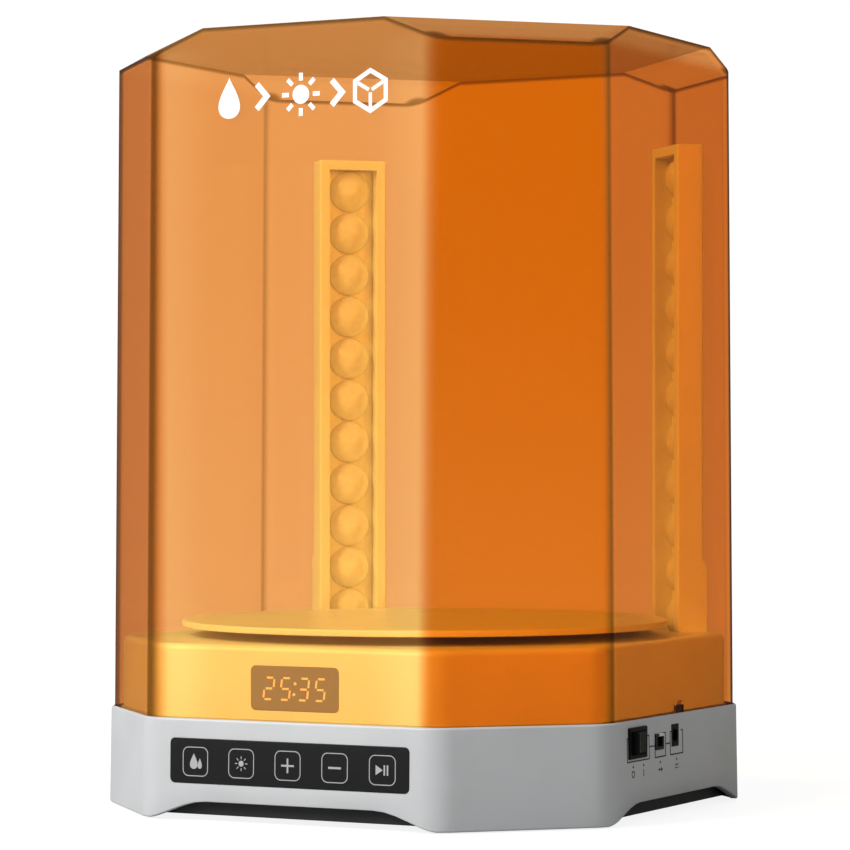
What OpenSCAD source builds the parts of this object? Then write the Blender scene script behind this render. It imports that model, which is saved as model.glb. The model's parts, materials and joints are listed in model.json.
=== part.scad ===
// Tabletop UV curing lamp: octagonal base with controls, driven turntable, two upright light bars
// and a clear orange lift-off cover. Millimetres, +Z up, front faces -Y, origin at the centre of the
// footprint on the table.

/* [Cover] */
// Width of the cover across its flats at the bottom rim
cover_w = 280; // [230:1:340]
// Height of the whole lamp with the cover on
total_h = 386.5; // [320:0.5:470]
// Thickness of the cover's wall
cover_wall = 3; // [2:0.1:4]
// How far the cover's flats lean in, on each side, from rim to top
cover_draft = 2; // [0:0.1:4]
// How far each corner of the octagon is cut back along both flats
corner_leg = 61; // [50:1:74]
// Radius of the upright corners
corner_r = 20; // [14:1:24]
// Drop of the sloping facet above each cut-off corner
facet_drop = 11; // [6:0.5:16]
// Length that the facet takes off each flat's top edge
facet_run = 28; // [18:1:36]

/* [Base] */
// Height of the ledge that the cover stands in
base_h = 50; // [42:0.5:62]
// How far the base stands out past the cover at the ledge
base_proud = 1.7; // [1.3:0.1:3]
// Extra spread of the base, on each side, down to its foot
base_flare = 0.8; // [0:0.1:2]
// Thickness of the base's wall
base_wall = 3.2; // [2.4:0.1:4]
// Height of the arches between the corner legs
arch_h = 9.8; // [6:0.2:12]
// Half the length of each arch's level crown
arch_half = 46; // [36:1:54]
// Length of the curve from crown to leg
arch_blend = 40; // [20:1:42]
// Depth of the groove that the cover stands in
groove_d = 1.5; // [1:0.1:2]
// Height of the rubber feet below the tray
foot_h = 3; // [2:0.5:5]
// Diameter of a rubber foot
foot_d = 18; // [12:1:22]

/* [Plinth] */
// Height of the plinth above the ledge
plinth_h = 34; // [28:0.5:44]
// Gap between the cover's wall and the plinth
plinth_gap = 1.5; // [1:0.1:8]
// Thickness of the plinth's walls and top
plinth_wall = 3; // [2.4:0.1:4]

/* [Turntable] */
// Height of the turntable's face above the plinth
table_rise = 10; // [9:0.5:14]
// Thickness of the turntable's disc
table_t = 2.5; // [2:0.1:4]
// Gap between the disc's edge and the light bars
table_gap = 7.3; // [1.5:0.1:12]

/* [Light bars] */
// Width of a light bar
bar_w = 38; // [32:0.5:42]
// Depth of a light bar
bar_d = 14.5; // [13:0.5:19]
// Gap between a light bar's back and the plinth's inner wall
bar_gap = 0.6; // [0.6:0.2:3]
// Space between the top of the light bars and the top of the cover
bar_headroom = 45.5; // [30:0.5:80]
// Distance from lamp to lamp
led_pitch = 23.1; // [19:0.1:28]
// Width of the rim around the lamps
bar_rim = 5.4; // [4:0.1:6.5]

/* [Drive] */
// Teeth on the turntable's gear
gear_teeth = 60; // [48:1:72]
// Teeth on the motor's pinion
pinion_teeth = 16; // [14:1:20]
// Size of the gear teeth
gear_module = 1; // [0.8:0.1:1.2]
// Diameter of the turntable's spindle
spindle_d = 8; // [6:0.5:10]
// Diameter of the motor's shaft
motor_shaft_d = 6; // [5:0.5:7]
// Gap all round a turning shaft in its bearing
fit_gap = 0.05; // [0.02:0.01:0.1]

/* [Controls] */
// Width of the control panel
panel_w = 132; // [110:1:140]
// Height of the control panel
panel_h = 22; // [18:0.5:24]
// Distance between the middles of two keys
key_pitch = 25.8; // [20:0.1:27]
// Width of the display window
window_w = 48.5; // [40:0.5:60]
// Height of the display window
window_h = 21.5; // [16:0.5:22]
// Length of the power switch's bezel
switch_w = 21; // [18:0.5:24]
// Height of the power switch's bezel
switch_h = 15.4; // [13:0.1:16]
// Half the angle that the rocker swings through
rocker_tilt = 11; // [8:0.5:12]

/* [Hidden] */
$fn = 64;

// Octagon
half_w = cover_w / 2;
lean = tan(22.5);
leg_per_inset = 2 - sqrt(2);
min_r = 4;
eps = 0.01;

// Heights
clear = 0.3;
tray_floor = 3;
tray_t = 3;
tray_top = tray_floor + tray_t;
tray_rim_h = 13;
skirt_z = 0.8;
flange_t = 4.5;
flange_z = base_h - flange_t;
groove_z = base_h - groove_d;
plinth_top = base_h + plinth_h;
plinth_under = plinth_top - plinth_wall;
table_top = plinth_top + table_rise;
table_z = table_top - table_t;

// Insets from the cover's outer outline
groove_play = 0.5;
groove_in = cover_wall + groove_play;
cavity_in = base_wall - base_proud;
tray_in = cavity_in + 2.5;
tray_rim_t = 2.5;
plinth_in = cover_wall + plinth_gap;
plinth_edge = 2;
flange_in = plinth_in + 23.5;
lip_t = 2;

// Screws
screw_d = 2.9;
screw_bore_d = 3;
screw_hole_d = 3.4;
screw_head_d = 5.6;
screw_head_h = 2.2;
boss_d = 8;

// Screw places
boss_x = half_w - 18;
boss_y = 66;
plinth_boss_side = 20;
plinth_boss_front = 50;
foot_place = corner_reach(4 + cavity_in) / sqrt(2) - foot_d / 2 - 1.5;

// Light bars, measured outwards from the centre along a cut-off corner
bar_back = corner_reach(plinth_in + plinth_wall) - bar_gap;
bar_front = bar_back - bar_d;
bar_top = total_h - bar_headroom;
bar_floor = 3.5;
bar_shelf_top = plinth_top + 40;
bar_shelf_d = plinth_wall + bar_gap - plinth_edge;
lamp_top = bar_top - 5.2;
lamp_low = plinth_top - 4;
led_count = floor((lamp_top - lamp_low) / led_pitch);
led_board_t = 1.6;
led_base = 3.5;
led_base_t = 1;
led_board_w = bar_w - 2 * bar_rim - 0.4;
lens_d = min(led_pitch, led_board_w) - 0.5;
lens_foot_h = 1.5;
lens_dome_h = 7;
lens_ball_r = (pow(lens_d / 2, 2) + pow(lens_dome_h, 2)) / (2 * lens_dome_h);
lens_cavity_d = 6.4;
lens_cavity_h = 3.2;
bar_foot_z = plinth_top - 18;
bar_foot_t = 4;
bar_foot_half = bar_w / 2 + 12;
bar_screw_y = bar_w / 2 + 7;
bar_mid = (bar_front + bar_back) / 2;

// Turntable and drive
table_r = bar_front - table_gap;
gear_r = gear_teeth * gear_module / 2;
pinion_r = pinion_teeth * gear_module / 2;
shaft_x = -(gear_r + pinion_r);
backlash = 0.35 * gear_module;
gearbox_d = 37;
gearbox_h = 25;
shaft_offset = 7;
gearbox_x = shaft_x - shaft_offset;
frame_t = 3;
frame_z = plinth_top - 26;
frame_top = frame_z + frame_t;
gear_z = frame_top + 3;
gear_t = 6;
gearbox_z = frame_z - gearbox_h;
can_d = 34;
can_z = tray_top + 5;
bush_wall = 2;
bush_d = spindle_d + 2 * bush_wall + 2 * fit_gap;
bush_flange_d = bush_d + 4;
bush_flange_t = 1.2;
hub_boss_d = bush_d + 12;
hub_boss_low = gear_z + gear_t + 4;
hub_boss_top = plinth_top + 2;
lower_bush_z = frame_z - 3.5;
circlip_z = lower_bush_z - 1.1;
circlip_t = 0.8;
washer_t = 0.25;
dog_z = hub_boss_top + bush_flange_t + clear;
dog_af = spindle_d + 6;
hub_z = dog_z + 1;
hub_d = dog_af + 20;
post_x_left = gearbox_x - gearbox_d / 2 - 2.5;
post_x_right = gear_r + 16;
post_y = gear_r + 4;

// Front controls
panel_z = 29.5 / 50 * base_h;
panel_t = 0.9;
panel_floor = half_w + base_proud - 0.5;
touch_board_t = 1.6;
touch_gap = 1.2;
cavity_w = half_w - cavity_in;
touch_board_w = 4 * key_pitch + 22;
touch_board_h = panel_h - 2;
touch_board_y = -(cavity_w - touch_gap);
touch_screw_x = touch_board_w / 2 - 4;
touch_screw_z = touch_board_h / 2 - 4;
window_t = 1.3;
window_z = base_h + (plinth_h - plinth_wall) / 2;
window_lip = 1.25;
plinth_y = half_w - plinth_in;
display_w = window_w - 2 * window_lip - 1;
display_h = window_h - 2 * window_lip - 1;
display_t = 7.6;
display_face = -(plinth_y - window_t - 0.1);
display_back = display_face + display_t;
display_board_w = window_w + 12;
display_board_h = window_h + 1;
display_screw_x = window_w / 2 + 3;

// Ports in the right-hand wall
port_face = half_w + base_proud - 0.2;
port_z = flange_z - 6.5;
switch_y = -50;
socket_y = -24;
jack_y = -4;
bezel_t = 1.5;
switch_body_w = switch_w - 2;
switch_body_h = switch_h - 2.6;
switch_body_d = 14.5;
rocker_open_w = switch_w - 4.6;
rocker_open_h = switch_h - 4;
rocker_half = rocker_open_w / 2 - 1.3;
rocker_h = rocker_open_h - 0.8;
rocker_pivot_x = port_face + bezel_t - 4;
jack_w = 9;
jack_h = 11;
jack_d = 14;
socket_w = 9.7;
socket_h = 8;
socket_d = 12;
sensor_y = 10.4;
sensor_w = 4.5;
sensor_tab_h = 3.6;
notch_h = 5.6;

// Main board on the tray
board_x0 = 18;
board_x1 = 98;
board_half = 45;
board_z = tray_top + 10;
board_t = 1.6;
board_top = board_z + board_t;

// Lead routes
lead_d = 1.8;
lead_z = tray_top + 4;

// Distance from the centre to a cut-off corner's face, for an outline moved in by inset
function corner_reach(inset) = (cover_w - corner_leg) / sqrt(2) - inset;
function leg_at(inset) = corner_leg - inset * leg_per_inset;

// One quarter of an octagon's outline, between the tangent points of its rounded corners
function quarter(w, leg, r) = [
    [w, w - leg - r * lean],
    [w - r + r / sqrt(2), w - leg - r * lean + r / sqrt(2)],
    [w - leg - r * lean + r / sqrt(2), w - r + r / sqrt(2)],
    [w - leg - r * lean, w]
];
function turned(p, a) = [p[0] * cos(a) - p[1] * sin(a), p[0] * sin(a) + p[1] * cos(a)];

// A tooth's four points, with its middle at angle a and t the half thickness at the pitch circle
function tooth(r, m, a, t) = [
    for (p = [[-1.2, -1], [0.95, -1], [0.95, 1], [-1.2, 1]])
        let (rad = r + p[0] * m)
        let (half = (t - p[0] * m * tan(20)) / rad * 180 / PI)
        [rad * cos(a + p[1] * half), rad * sin(a + p[1] * half)]
];
function gear_outline(n, m) = [
    for (i = [0:n - 1])
        for (p = tooth(n * m / 2, m, i * 360 / n, PI * m / 4 - backlash / 2)) p
];
// Height of an arch at a distance along the wall: level crown, then half a cosine down to the leg
function arch_rise(s) = (s < arch_half) ? arch_h
    : skirt_z + (arch_h - skirt_z) * (1 + cos(180 * (s - arch_half) / arch_blend)) / 2;

// Rounded octagon, moved in from the cover's outer outline by inset
module outline(inset) {
    w = half_w - inset;
    leg = leg_at(inset);
    r = max(corner_r - inset, min_r);
    polygon([for (q = [0:3]) for (p = quarter(w, leg, r)) turned(p, 90 * q)]);
    for (q = [0:3]) rotate(90 * q) {
        translate([w - r, w - leg - r * lean]) circle(r);
        translate([w - leg - r * lean, w - r]) circle(r);
    }
}
module prism(inset, z0, z1) {
    translate([0, 0, z0]) linear_extrude(z1 - z0) outline(inset);
}
module tapered_prism(inset0, inset1, z0, z1) {
    hull() {
        prism(inset0, z0, z0 + eps);
        prism(inset1, z1 - eps, z1);
    }
}
module box(x0, x1, y0, y1, z0, z1) {
    translate([x0, y0, z0]) cube([x1 - x0, y1 - y0, z1 - z0]);
}
module rounded_plate(w, h, t, r) {
    // Plate standing upright in the XZ plane, its face towards -Y, its back at y = 0
    rotate([90, 0, 0]) linear_extrude(t) {
        square([w - 2 * r, h], center = true);
        square([w, h - 2 * r], center = true);
        for (x = [-1, 1]) for (y = [-1, 1])
            translate([x * (w / 2 - r), y * (h / 2 - r)]) circle(r);
    }
}
module at_corners() {
    for (a = [45, 135, 225, 315]) rotate(a) children();
}
module at_eight(reach, side) {
    for (q = [0:3]) rotate(90 * q) for (s = [-1, 1]) translate([reach, s * side, 0]) children();
}
// Screw pointing up, its head below the origin
module screw(len) {
    difference() {
        union() {
            translate([0, 0, -screw_head_h]) cylinder(d = screw_head_d, h = screw_head_h, $fn = 32);
            cylinder(d = screw_d, h = len, $fn = 32);
        }
        for (a = [0, 90]) rotate(a) translate([-1.6, -0.4, -screw_head_h - eps]) cube([3.2, 0.8, 1.2]);
    }
}
// Wire of eight sides along a list of points, mitred at each bend
function heading(a, b) = (b - a) / norm(b - a);
function across(d) = let (c = cross(d, abs(d[2]) < 0.9 ? [0, 0, 1] : [1, 0, 0])) c / norm(c);
// Ring number i: ring i - 1 pushed along its segment onto the plane that halves the bend
function wire_ring(points, d, i) = i == 0
    ? let (h = heading(points[0], points[1]), u = across(h), v = cross(h, u))
        [for (a = [0:45:315]) points[0] + d / 2 * (u * cos(a) + v * sin(a))]
    : let (h = heading(points[i - 1], points[i]))
        let (g = i < len(points) - 1 ? heading(points[i], points[i + 1]) : h)
        [for (p = wire_ring(points, d, i - 1)) p + h * ((points[i] - p) * (h + g)) / (h * (h + g))];
module wire(points, d) {
    last = len(points) - 1;
    polyhedron(
        [for (i = [0:last]) each wire_ring(points, d, i)],
        concat(
            [[for (k = [0:7]) k]],
            [for (i = [0:last - 1]) for (k = [0:7])
                [8 * i + k, 8 * i + 8 + k, 8 * i + 8 + (k + 1) % 8, 8 * i + (k + 1) % 8]],
            [[for (k = [7:-1:0]) 8 * last + k]]
        )
    );
}

// ---- Cover ----
// Wedge above the sloping facet, moved in by inset along the facet's normal
module facet_wedge(inset) {
    reach = corner_reach(cover_draft);
    run = facet_run / sqrt(2);
    slope_len = norm([facet_drop, run]);
    shift = [-inset * facet_drop / slope_len, -inset * run / slope_len];
    translate([0, corner_leg, 0]) rotate([90, 0, 0]) linear_extrude(2 * corner_leg)
        polygon([
            [reach - 2 * run, total_h + facet_drop] + shift,
            [reach + run, total_h - 2 * facet_drop] + shift,
            [reach + run, total_h + facet_drop] + shift
        ]);
}
module cover() {
    color("darkorange", 0.5) difference() {
        tapered_prism(0, cover_draft, groove_z, total_h);
        difference() {
            tapered_prism(cover_wall, cover_wall + cover_draft, groove_z - 1, total_h - cover_wall);
            at_corners() facet_wedge(cover_wall);
        }
        at_corners() facet_wedge(0);
        // Notch over the sensor's tab
        box(half_w - 8, half_w + 1, sensor_y - sensor_w / 2 - clear, sensor_y + sensor_w / 2 + clear,
            groove_z - 1, base_h + notch_h);
    }
}

// ---- Base ----
module arch_cut() {
    steps = 14;
    reach = arch_half + arch_blend;
    curve = [for (i = [0:steps]) arch_half + arch_blend * i / steps];
    linear_extrude(2 * half_w + 40, center = true) polygon(concat(
        [[-reach, -1], [reach, -1]],
        [for (i = [0:steps]) [curve[steps - i], arch_rise(curve[steps - i])]],
        [for (i = [0:steps]) [-curve[i], arch_rise(curve[i])]]
    ));
}
module base_housing() {
    color("gainsboro") difference() {
        union() {
            difference() {
                tapered_prism(-base_proud - base_flare, -base_proud, skirt_z, base_h);
                prism(cavity_in, skirt_z - 1, flange_z);
                prism(flange_in, flange_z - 1, base_h + 1);
            }
            // Bosses for the tray screws
            at_eight(boss_x, boss_y) translate([0, 0, tray_top])
                cylinder(d = boss_d, h = flange_z - tray_top + eps);
            // Posts for the touch board
            for (x = [-1, 1]) for (z = [-1, 1])
                translate([x * touch_screw_x, touch_board_y, panel_z + z * touch_screw_z])
                    rotate([90, 0, 0]) cylinder(d = 5, h = touch_gap + 0.2);
        }
        // Groove for the cover's rim
        difference() {
            prism(-groove_play, groove_z, base_h + 1);
            prism(groove_in, groove_z - 1, base_h + 2);
        }
        rotate([90, 0, 0]) arch_cut();
        rotate([90, 0, 90]) arch_cut();
        at_eight(boss_x, boss_y) translate([0, 0, tray_top - 1]) cylinder(d = screw_bore_d, h = 21);
        plinth_screw_places() cylinder(d = screw_hole_d, h = 3 * flange_t, center = true);
        // Recess for the control panel, bores of the touch board's posts, slot for the touch pads
        translate([0, -panel_floor, panel_z]) rounded_plate(panel_w, panel_h, 5, 2.6);
        for (x = [-1, 1]) for (z = [-1, 1])
            translate([x * touch_screw_x, touch_board_y, panel_z + z * touch_screw_z])
                rotate([90, 0, 0]) cylinder(d = 2, h = 2.6, center = true);
        // Holes and flat seats for the switch, the socket and the jack
        port_hole(switch_y, port_z, switch_body_w + 0.2, switch_body_h + 0.2, switch_w, switch_h);
        port_hole(socket_y, port_z - 1.3, socket_w - 1.3, socket_h - 1.3, socket_w, socket_h);
        port_hole(jack_y, port_z + 0.5, jack_w + 0.2, jack_h + 0.1, jack_w + 0.2, jack_h + 0.1);
        // Slot for the cover sensor's tab
        box(half_w - 3.2, half_w - 0.5, sensor_y - sensor_w / 2 - 0.1, sensor_y + sensor_w / 2 + 0.1,
            flange_z - 1, base_h + 1);
    }
}
module port_hole(y, z, w, h, seat_w, seat_h) {
    box(half_w - 12, half_w + 10, y - w / 2, y + w / 2, z - h / 2, z + h / 2);
    box(port_face, half_w + 10, y - seat_w / 2, y + seat_w / 2, z - seat_h / 2, z + seat_h / 2);
}
module plinth_screw_places() {
    translate([0, 0, flange_z]) for (s = [-1, 1]) {
        for (x = [-1, 1]) translate([x * plinth_boss_front, s * (boss_x - 1), 0]) children();
        for (y = [-1, 1]) translate([s * (boss_x - 1), y * plinth_boss_side, 0]) children();
    }
}
module bottom_tray() {
    color([0.13, 0.13, 0.14]) difference() {
        union() {
            difference() {
                prism(tray_in, tray_floor, tray_floor + tray_rim_h);
                prism(tray_in + tray_rim_t, tray_top, tray_floor + tray_rim_h + 1);
            }
            board_corners() translate([0, 0, tray_top - eps])
                cylinder(d = 7, h = board_z - tray_top + eps);
        }
        at_eight(boss_x, boss_y) {
            translate([0, 0, tray_floor - 1]) cylinder(d = screw_hole_d, h = tray_t + 2);
            translate([0, 0, tray_floor - 1]) cylinder(d = screw_head_d + 0.6, h = 1.6);
        }
        board_corners() translate([0, 0, tray_top + 1]) cylinder(d = screw_bore_d, h = board_z);
        at_corners() translate([foot_place * sqrt(2), 0, tray_floor - 1]) cylinder(d = 6.2, h = 10);
        // Vent slots under the motor
        for (i = [-3:3]) translate([gearbox_x + i * 9, 0, tray_floor + 1.5])
            cube([3, 44, 2 * tray_t], center = true);
    }
}
module rubber_feet() {
    color([0.08, 0.08, 0.08]) at_corners() translate([foot_place * sqrt(2), 0, 0]) {
        difference() {
            cylinder(d = foot_d, h = foot_h);
            translate([0, 0, -eps]) cylinder(d = foot_d - 8, h = 0.6);
        }
        translate([0, 0, foot_h]) cylinder(d = 6, h = tray_t + 0.1);
        translate([0, 0, tray_top + 0.1]) cylinder(d1 = 7.6, d2 = 5, h = 2);
    }
}
module tray_screws() {
    color("silver") at_eight(boss_x, boss_y) translate([0, 0, tray_floor + 0.6]) rotate([0, 0, 20])
        tray_screw();
}
module tray_screw() {
    difference() {
        union() {
            translate([0, 0, -0.5]) cylinder(d = screw_head_d, h = 0.5, $fn = 32);
            cylinder(d = screw_d, h = 18, $fn = 32);
        }
        for (a = [0, 90]) rotate(a) translate([-1.6, -0.4, -0.5 - eps]) cube([3.2, 0.8, 0.4]);
    }
}

// ---- Plinth ----
module plinth() {
    color("whitesmoke") difference() {
        union() {
            difference() {
                union() {
                    prism(plinth_in, base_h, plinth_top - plinth_edge);
                    tapered_prism(plinth_in, plinth_in + plinth_edge, plinth_top - plinth_edge, plinth_top);
                }
                prism(plinth_in + plinth_wall, base_h - 1, plinth_under);
            }
            // Lip that centres the plinth in the base
            difference() {
                prism(flange_in + 0.2, base_h - 4, base_h + 4);
                prism(flange_in + 0.2 + lip_t, base_h - 5, base_h + 5);
            }
            lip_web();
            // Bosses: base screws, drive frame posts, light bars, bearing
            plinth_screw_places() translate([0, 0, flange_t])
                cylinder(d = boss_d, h = plinth_under - base_h + eps);
            drive_posts() translate([0, 0, frame_top]) cylinder(d = boss_d, h = plinth_under - frame_top + eps);
            bar_screw_places() translate([bar_mid, 0, bar_foot_z + bar_foot_t])
                cylinder(d = 7, h = plinth_under - bar_foot_z - bar_foot_t + eps);
            translate([0, 0, hub_boss_low]) cylinder(d = hub_boss_d, h = hub_boss_top - hub_boss_low);
            // Posts for the display board
            for (x = [-1, 1]) translate([x * display_screw_x, display_back + 0.1, window_z]) rotate([90, 0, 0])
                cylinder(d = 5, h = plinth_y - plinth_wall + display_back + 0.3);
        }
        translate([0, 0, hub_boss_low - 1]) cylinder(d = bush_d, h = hub_boss_top - hub_boss_low + 2);
        plinth_screw_places() translate([0, 0, flange_t - 1]) cylinder(d = screw_bore_d, h = 15);
        drive_posts() translate([0, 0, frame_top - 1]) cylinder(d = screw_bore_d, h = 12);
        bar_screw_places() translate([bar_mid, 0, bar_foot_z]) cylinder(d = screw_bore_d, h = 14);
        at_bars() box(bar_front - 0.2, bar_back + 0.2, -bar_w / 2 - 0.2, bar_w / 2 + 0.2,
            plinth_under - 1, plinth_top + 1);
        // Window seat and its opening
        translate([0, -(plinth_y - window_t), window_z]) rounded_plate(window_w + 0.1, window_h + 0.1, 5, 2.7);
        translate([0, -(plinth_y - 2 * plinth_wall), window_z]) rounded_plate(
            window_w - 2 * window_lip, window_h - 2 * window_lip, 3 * plinth_wall, 1.5);
        for (x = [-1, 1]) translate([x * display_screw_x, display_back, window_z]) rotate([90, 0, 0])
            cylinder(d = 2, h = 7, center = true);
    }
}
// Ribs that tie the centring lip to the plinth's wall
module lip_web() {
    for (q = [0:3]) rotate(90 * q) for (s = [-1, 1])
        box(half_w - flange_in - 1, half_w - plinth_in - plinth_wall + 0.5, s * 34 - 1, s * 34 + 1,
            base_h, base_h + 4);
}
module plinth_screws() {
    color("silver") plinth_screw_places() screw(16);
}
module drive_posts() {
    for (x = [post_x_left, post_x_right]) for (y = [-1, 1]) translate([x, y * post_y, 0]) children();
}
module at_bars() {
    for (a = [45, 135]) rotate(a) children();
}
module bar_screw_places() {
    at_bars() for (s = [-1, 1]) translate([0, s * bar_screw_y, 0]) children();
}
module cover_sensor() {
    y0 = sensor_y - sensor_w / 2;
    y1 = sensor_y + sensor_w / 2;
    color([0.1, 0.1, 0.1]) {
        box(half_w - 12, cavity_w - 0.1, y0 - 2, y1 + 2, flange_z - 9, flange_z);
        box(half_w - 3, half_w - 0.7, y0, y1, flange_z - 0.8, base_h + sensor_tab_h);
    }
}

// ---- Front controls ----
module control_overlay() {
    color([0.03, 0.03, 0.035]) translate([0, -panel_floor, panel_z])
        rounded_plate(panel_w - 0.2, panel_h - 0.2, panel_t, 2.5);
}
module touch_springs() {
    color("goldenrod") for (i = [-2:2]) translate([i * key_pitch, touch_board_y, panel_z])
        rotate([90, 0, 0]) difference() {
            cylinder(d = 9, h = touch_gap - 0.1);
            translate([0, 0, -1]) cylinder(d = 7.4, h = touch_gap + 2);
        }
}
module touch_board() {
    color("darkgreen") difference() {
        box(-touch_board_w / 2, touch_board_w / 2, touch_board_y, touch_board_y + touch_board_t,
            panel_z - touch_board_h / 2, panel_z + touch_board_h / 2);
        for (x = [-1, 1]) for (z = [-1, 1])
            translate([x * touch_screw_x, touch_board_y, panel_z + z * touch_screw_z])
                rotate([90, 0, 0]) cylinder(d = 2.4, h = 8, center = true);
    }
}
// Small screw through a board that stands upright, its head towards +Y
module board_screw(len) {
    rotate([90, 0, 0]) {
        cylinder(d = 1.9, h = len, $fn = 24);
        translate([0, 0, -1.4]) cylinder(d = 3.8, h = 1.4, $fn = 24);
    }
}
module touch_board_screws() {
    color("silver") for (x = [-1, 1]) for (z = [-1, 1])
        translate([x * touch_screw_x, touch_board_y + touch_board_t, panel_z + z * touch_screw_z])
            board_screw(touch_board_t + 1.1);
}
module display_window() {
    color([0.2, 0.17, 0.15]) translate([0, -(plinth_y - window_t), window_z])
        rounded_plate(window_w, window_h, window_t, 2.65);
}
module display_module() {
    color([0.1, 0.1, 0.1]) box(-display_w / 2, display_w / 2, display_face, display_back,
        window_z - display_h / 2, window_z + display_h / 2);
}
module display_board() {
    color("darkgreen") difference() {
        box(-display_board_w / 2, display_board_w / 2, display_back + 0.1, display_back + 0.1 + board_t,
            window_z - display_board_h / 2, window_z + display_board_h / 2);
        for (x = [-1, 1]) translate([x * display_screw_x, display_back, window_z])
            rotate([90, 0, 0]) cylinder(d = 2.4, h = 8, center = true);
    }
}
module display_board_screws() {
    color("silver") for (x = [-1, 1])
        translate([x * display_screw_x, display_back + 0.1 + board_t, window_z]) board_screw(board_t + 3);
}

// ---- Electronics in the base ----
module board_corners() {
    for (x = [board_x0 + 5, board_x1 - 5]) for (y = [-1, 1])
        translate([x, y * (board_half - 5), 0]) children();
}
module main_board() {
    color("darkgreen") difference() {
        box(board_x0, board_x1, -board_half, board_half, board_z, board_top);
        board_corners() translate([0, 0, board_z - 1]) cylinder(d = screw_hole_d, h = board_t + 2);
    }
}
module main_board_screws() {
    color("silver") board_corners() translate([0, 0, board_top]) rotate([180, 0, 0]) screw(8);
}
module connector(w, d, h) {
    difference() {
        cube([w, d, h]);
        translate([1, 1, 2]) cube([w - 2, d - 2, h]);
    }
    for (i = [1:floor(w / 2.5) - 1]) translate([i * 2.5, d / 2, 1]) cylinder(d = 0.7, h = h - 2, $fn = 16);
}
module board_connectors() {
    color("ivory") {
        for (x = [30, 45, 60]) translate([x, board_half - 9, board_top]) connector(10, 6, 7);
        for (x = [30, 48, 66]) translate([x, 3 - board_half, board_top]) connector(12.5, 6, 7);
    }
}
module board_capacitors() {
    color([0.12, 0.12, 0.2]) for (x = [72, 84]) translate([x, 20, board_top]) {
        cylinder(d = 10, h = 12);
        translate([0, 0, 12]) cylinder(d1 = 10, d2 = 9, h = 0.6);
    }
}
module board_chips() {
    color([0.1, 0.1, 0.1]) {
        translate([50, 0, board_top + 0.8]) cube([12, 12, 1.6], center = true);
        for (y = [-20, -8, 4]) translate([80, y, board_top + 1.2]) cube([10, 7, 2.4], center = true);
        for (y = [-18, 18]) translate([34, y, board_top + 0.9]) cube([6, 9, 1.8], center = true);
    }
}
module buzzer() {
    color([0.08, 0.08, 0.08]) translate([50, 22, board_top]) difference() {
        cylinder(d = 12, h = 8.5);
        translate([0, 0, 6]) cylinder(d = 2, h = 4);
    }
}
module dc_jack() {
    color([0.07, 0.07, 0.07]) translate([port_face, jack_y, port_z + 0.5]) {
        difference() {
            box(0.4 - jack_d, 0.4, -jack_w / 2, jack_w / 2, -jack_h / 2, jack_h / 2);
            translate([-9.6, 0, 0]) rotate([0, 90, 0]) cylinder(d = 6.4, h = 12);
        }
        translate([-10, 0, 0]) rotate([0, 90, 0]) cylinder(d = 2, h = 9);
    }
}
module output_socket() {
    color([0.85, 0.85, 0.82]) translate([port_face, socket_y, port_z - 1.3]) {
        difference() {
            union() {
                box(1.2 - socket_d, 0, -socket_w / 2 + 0.7, socket_w / 2 - 0.7, -socket_h / 2 + 0.7, socket_h / 2 - 0.7);
                box(0, 1.2, -socket_w / 2 + 0.1, socket_w / 2 - 0.1, -socket_h / 2 + 0.1, socket_h / 2 - 0.1);
            }
            box(-7, 3, -socket_w / 2 + 1.6, socket_w / 2 - 1.6, -socket_h / 2 + 1.6, socket_h / 2 - 1.6);
        }
        for (y = [-1.27, 1.27]) translate([-8, y, 0]) rotate([0, 90, 0]) cylinder(d = 0.8, h = 7.5, $fn = 16);
    }
}
module switch_body() {
    color([0.06, 0.06, 0.06]) translate([port_face, switch_y, port_z]) difference() {
        union() {
            box(0, bezel_t, -switch_w / 2 + 0.1, switch_w / 2 - 0.1, -switch_h / 2 + 0.1, switch_h / 2 - 0.1);
            box(-switch_body_d, 0, -switch_body_w / 2, switch_body_w / 2, -switch_body_h / 2, switch_body_h / 2);
        }
        box(-10, 3, -rocker_open_w / 2, rocker_open_w / 2, -rocker_open_h / 2, rocker_open_h / 2);
        translate([rocker_pivot_x - port_face, 0, 0]) cylinder(d = 2.1, h = rocker_open_h + 1.6, center = true);
    }
}
module switch_terminals() {
    color("silver") for (y = [-5, 5])
        translate([port_face - switch_body_d - 7, switch_y + y - 0.4, port_z - 2.4]) cube([7, 0.8, 4.8]);
}
// Rocker: two flat faces that meet in a shallow valley, so that the pressed half lies level
module switch_rocker() {
    rise = rocker_half * tan(rocker_tilt);
    color([0.09, 0.09, 0.09]) translate([rocker_pivot_x, switch_y, port_z]) rotate(rocker_tilt) {
        translate([0, 0, -rocker_h / 2]) linear_extrude(rocker_h) polygon([
            [-3.5, -3], [0, -rocker_half + 0.5], [3, -rocker_half + 0.3], [4.4 + rise, -rocker_half],
            [4.4, 0],
            [4.4 + rise, rocker_half], [3, rocker_half - 0.3], [0, rocker_half - 0.5], [-3.5, 3]
        ]);
        cylinder(d = 2.1 - 2 * fit_gap, h = rocker_open_h + 1.4, center = true);
    }
}

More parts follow.
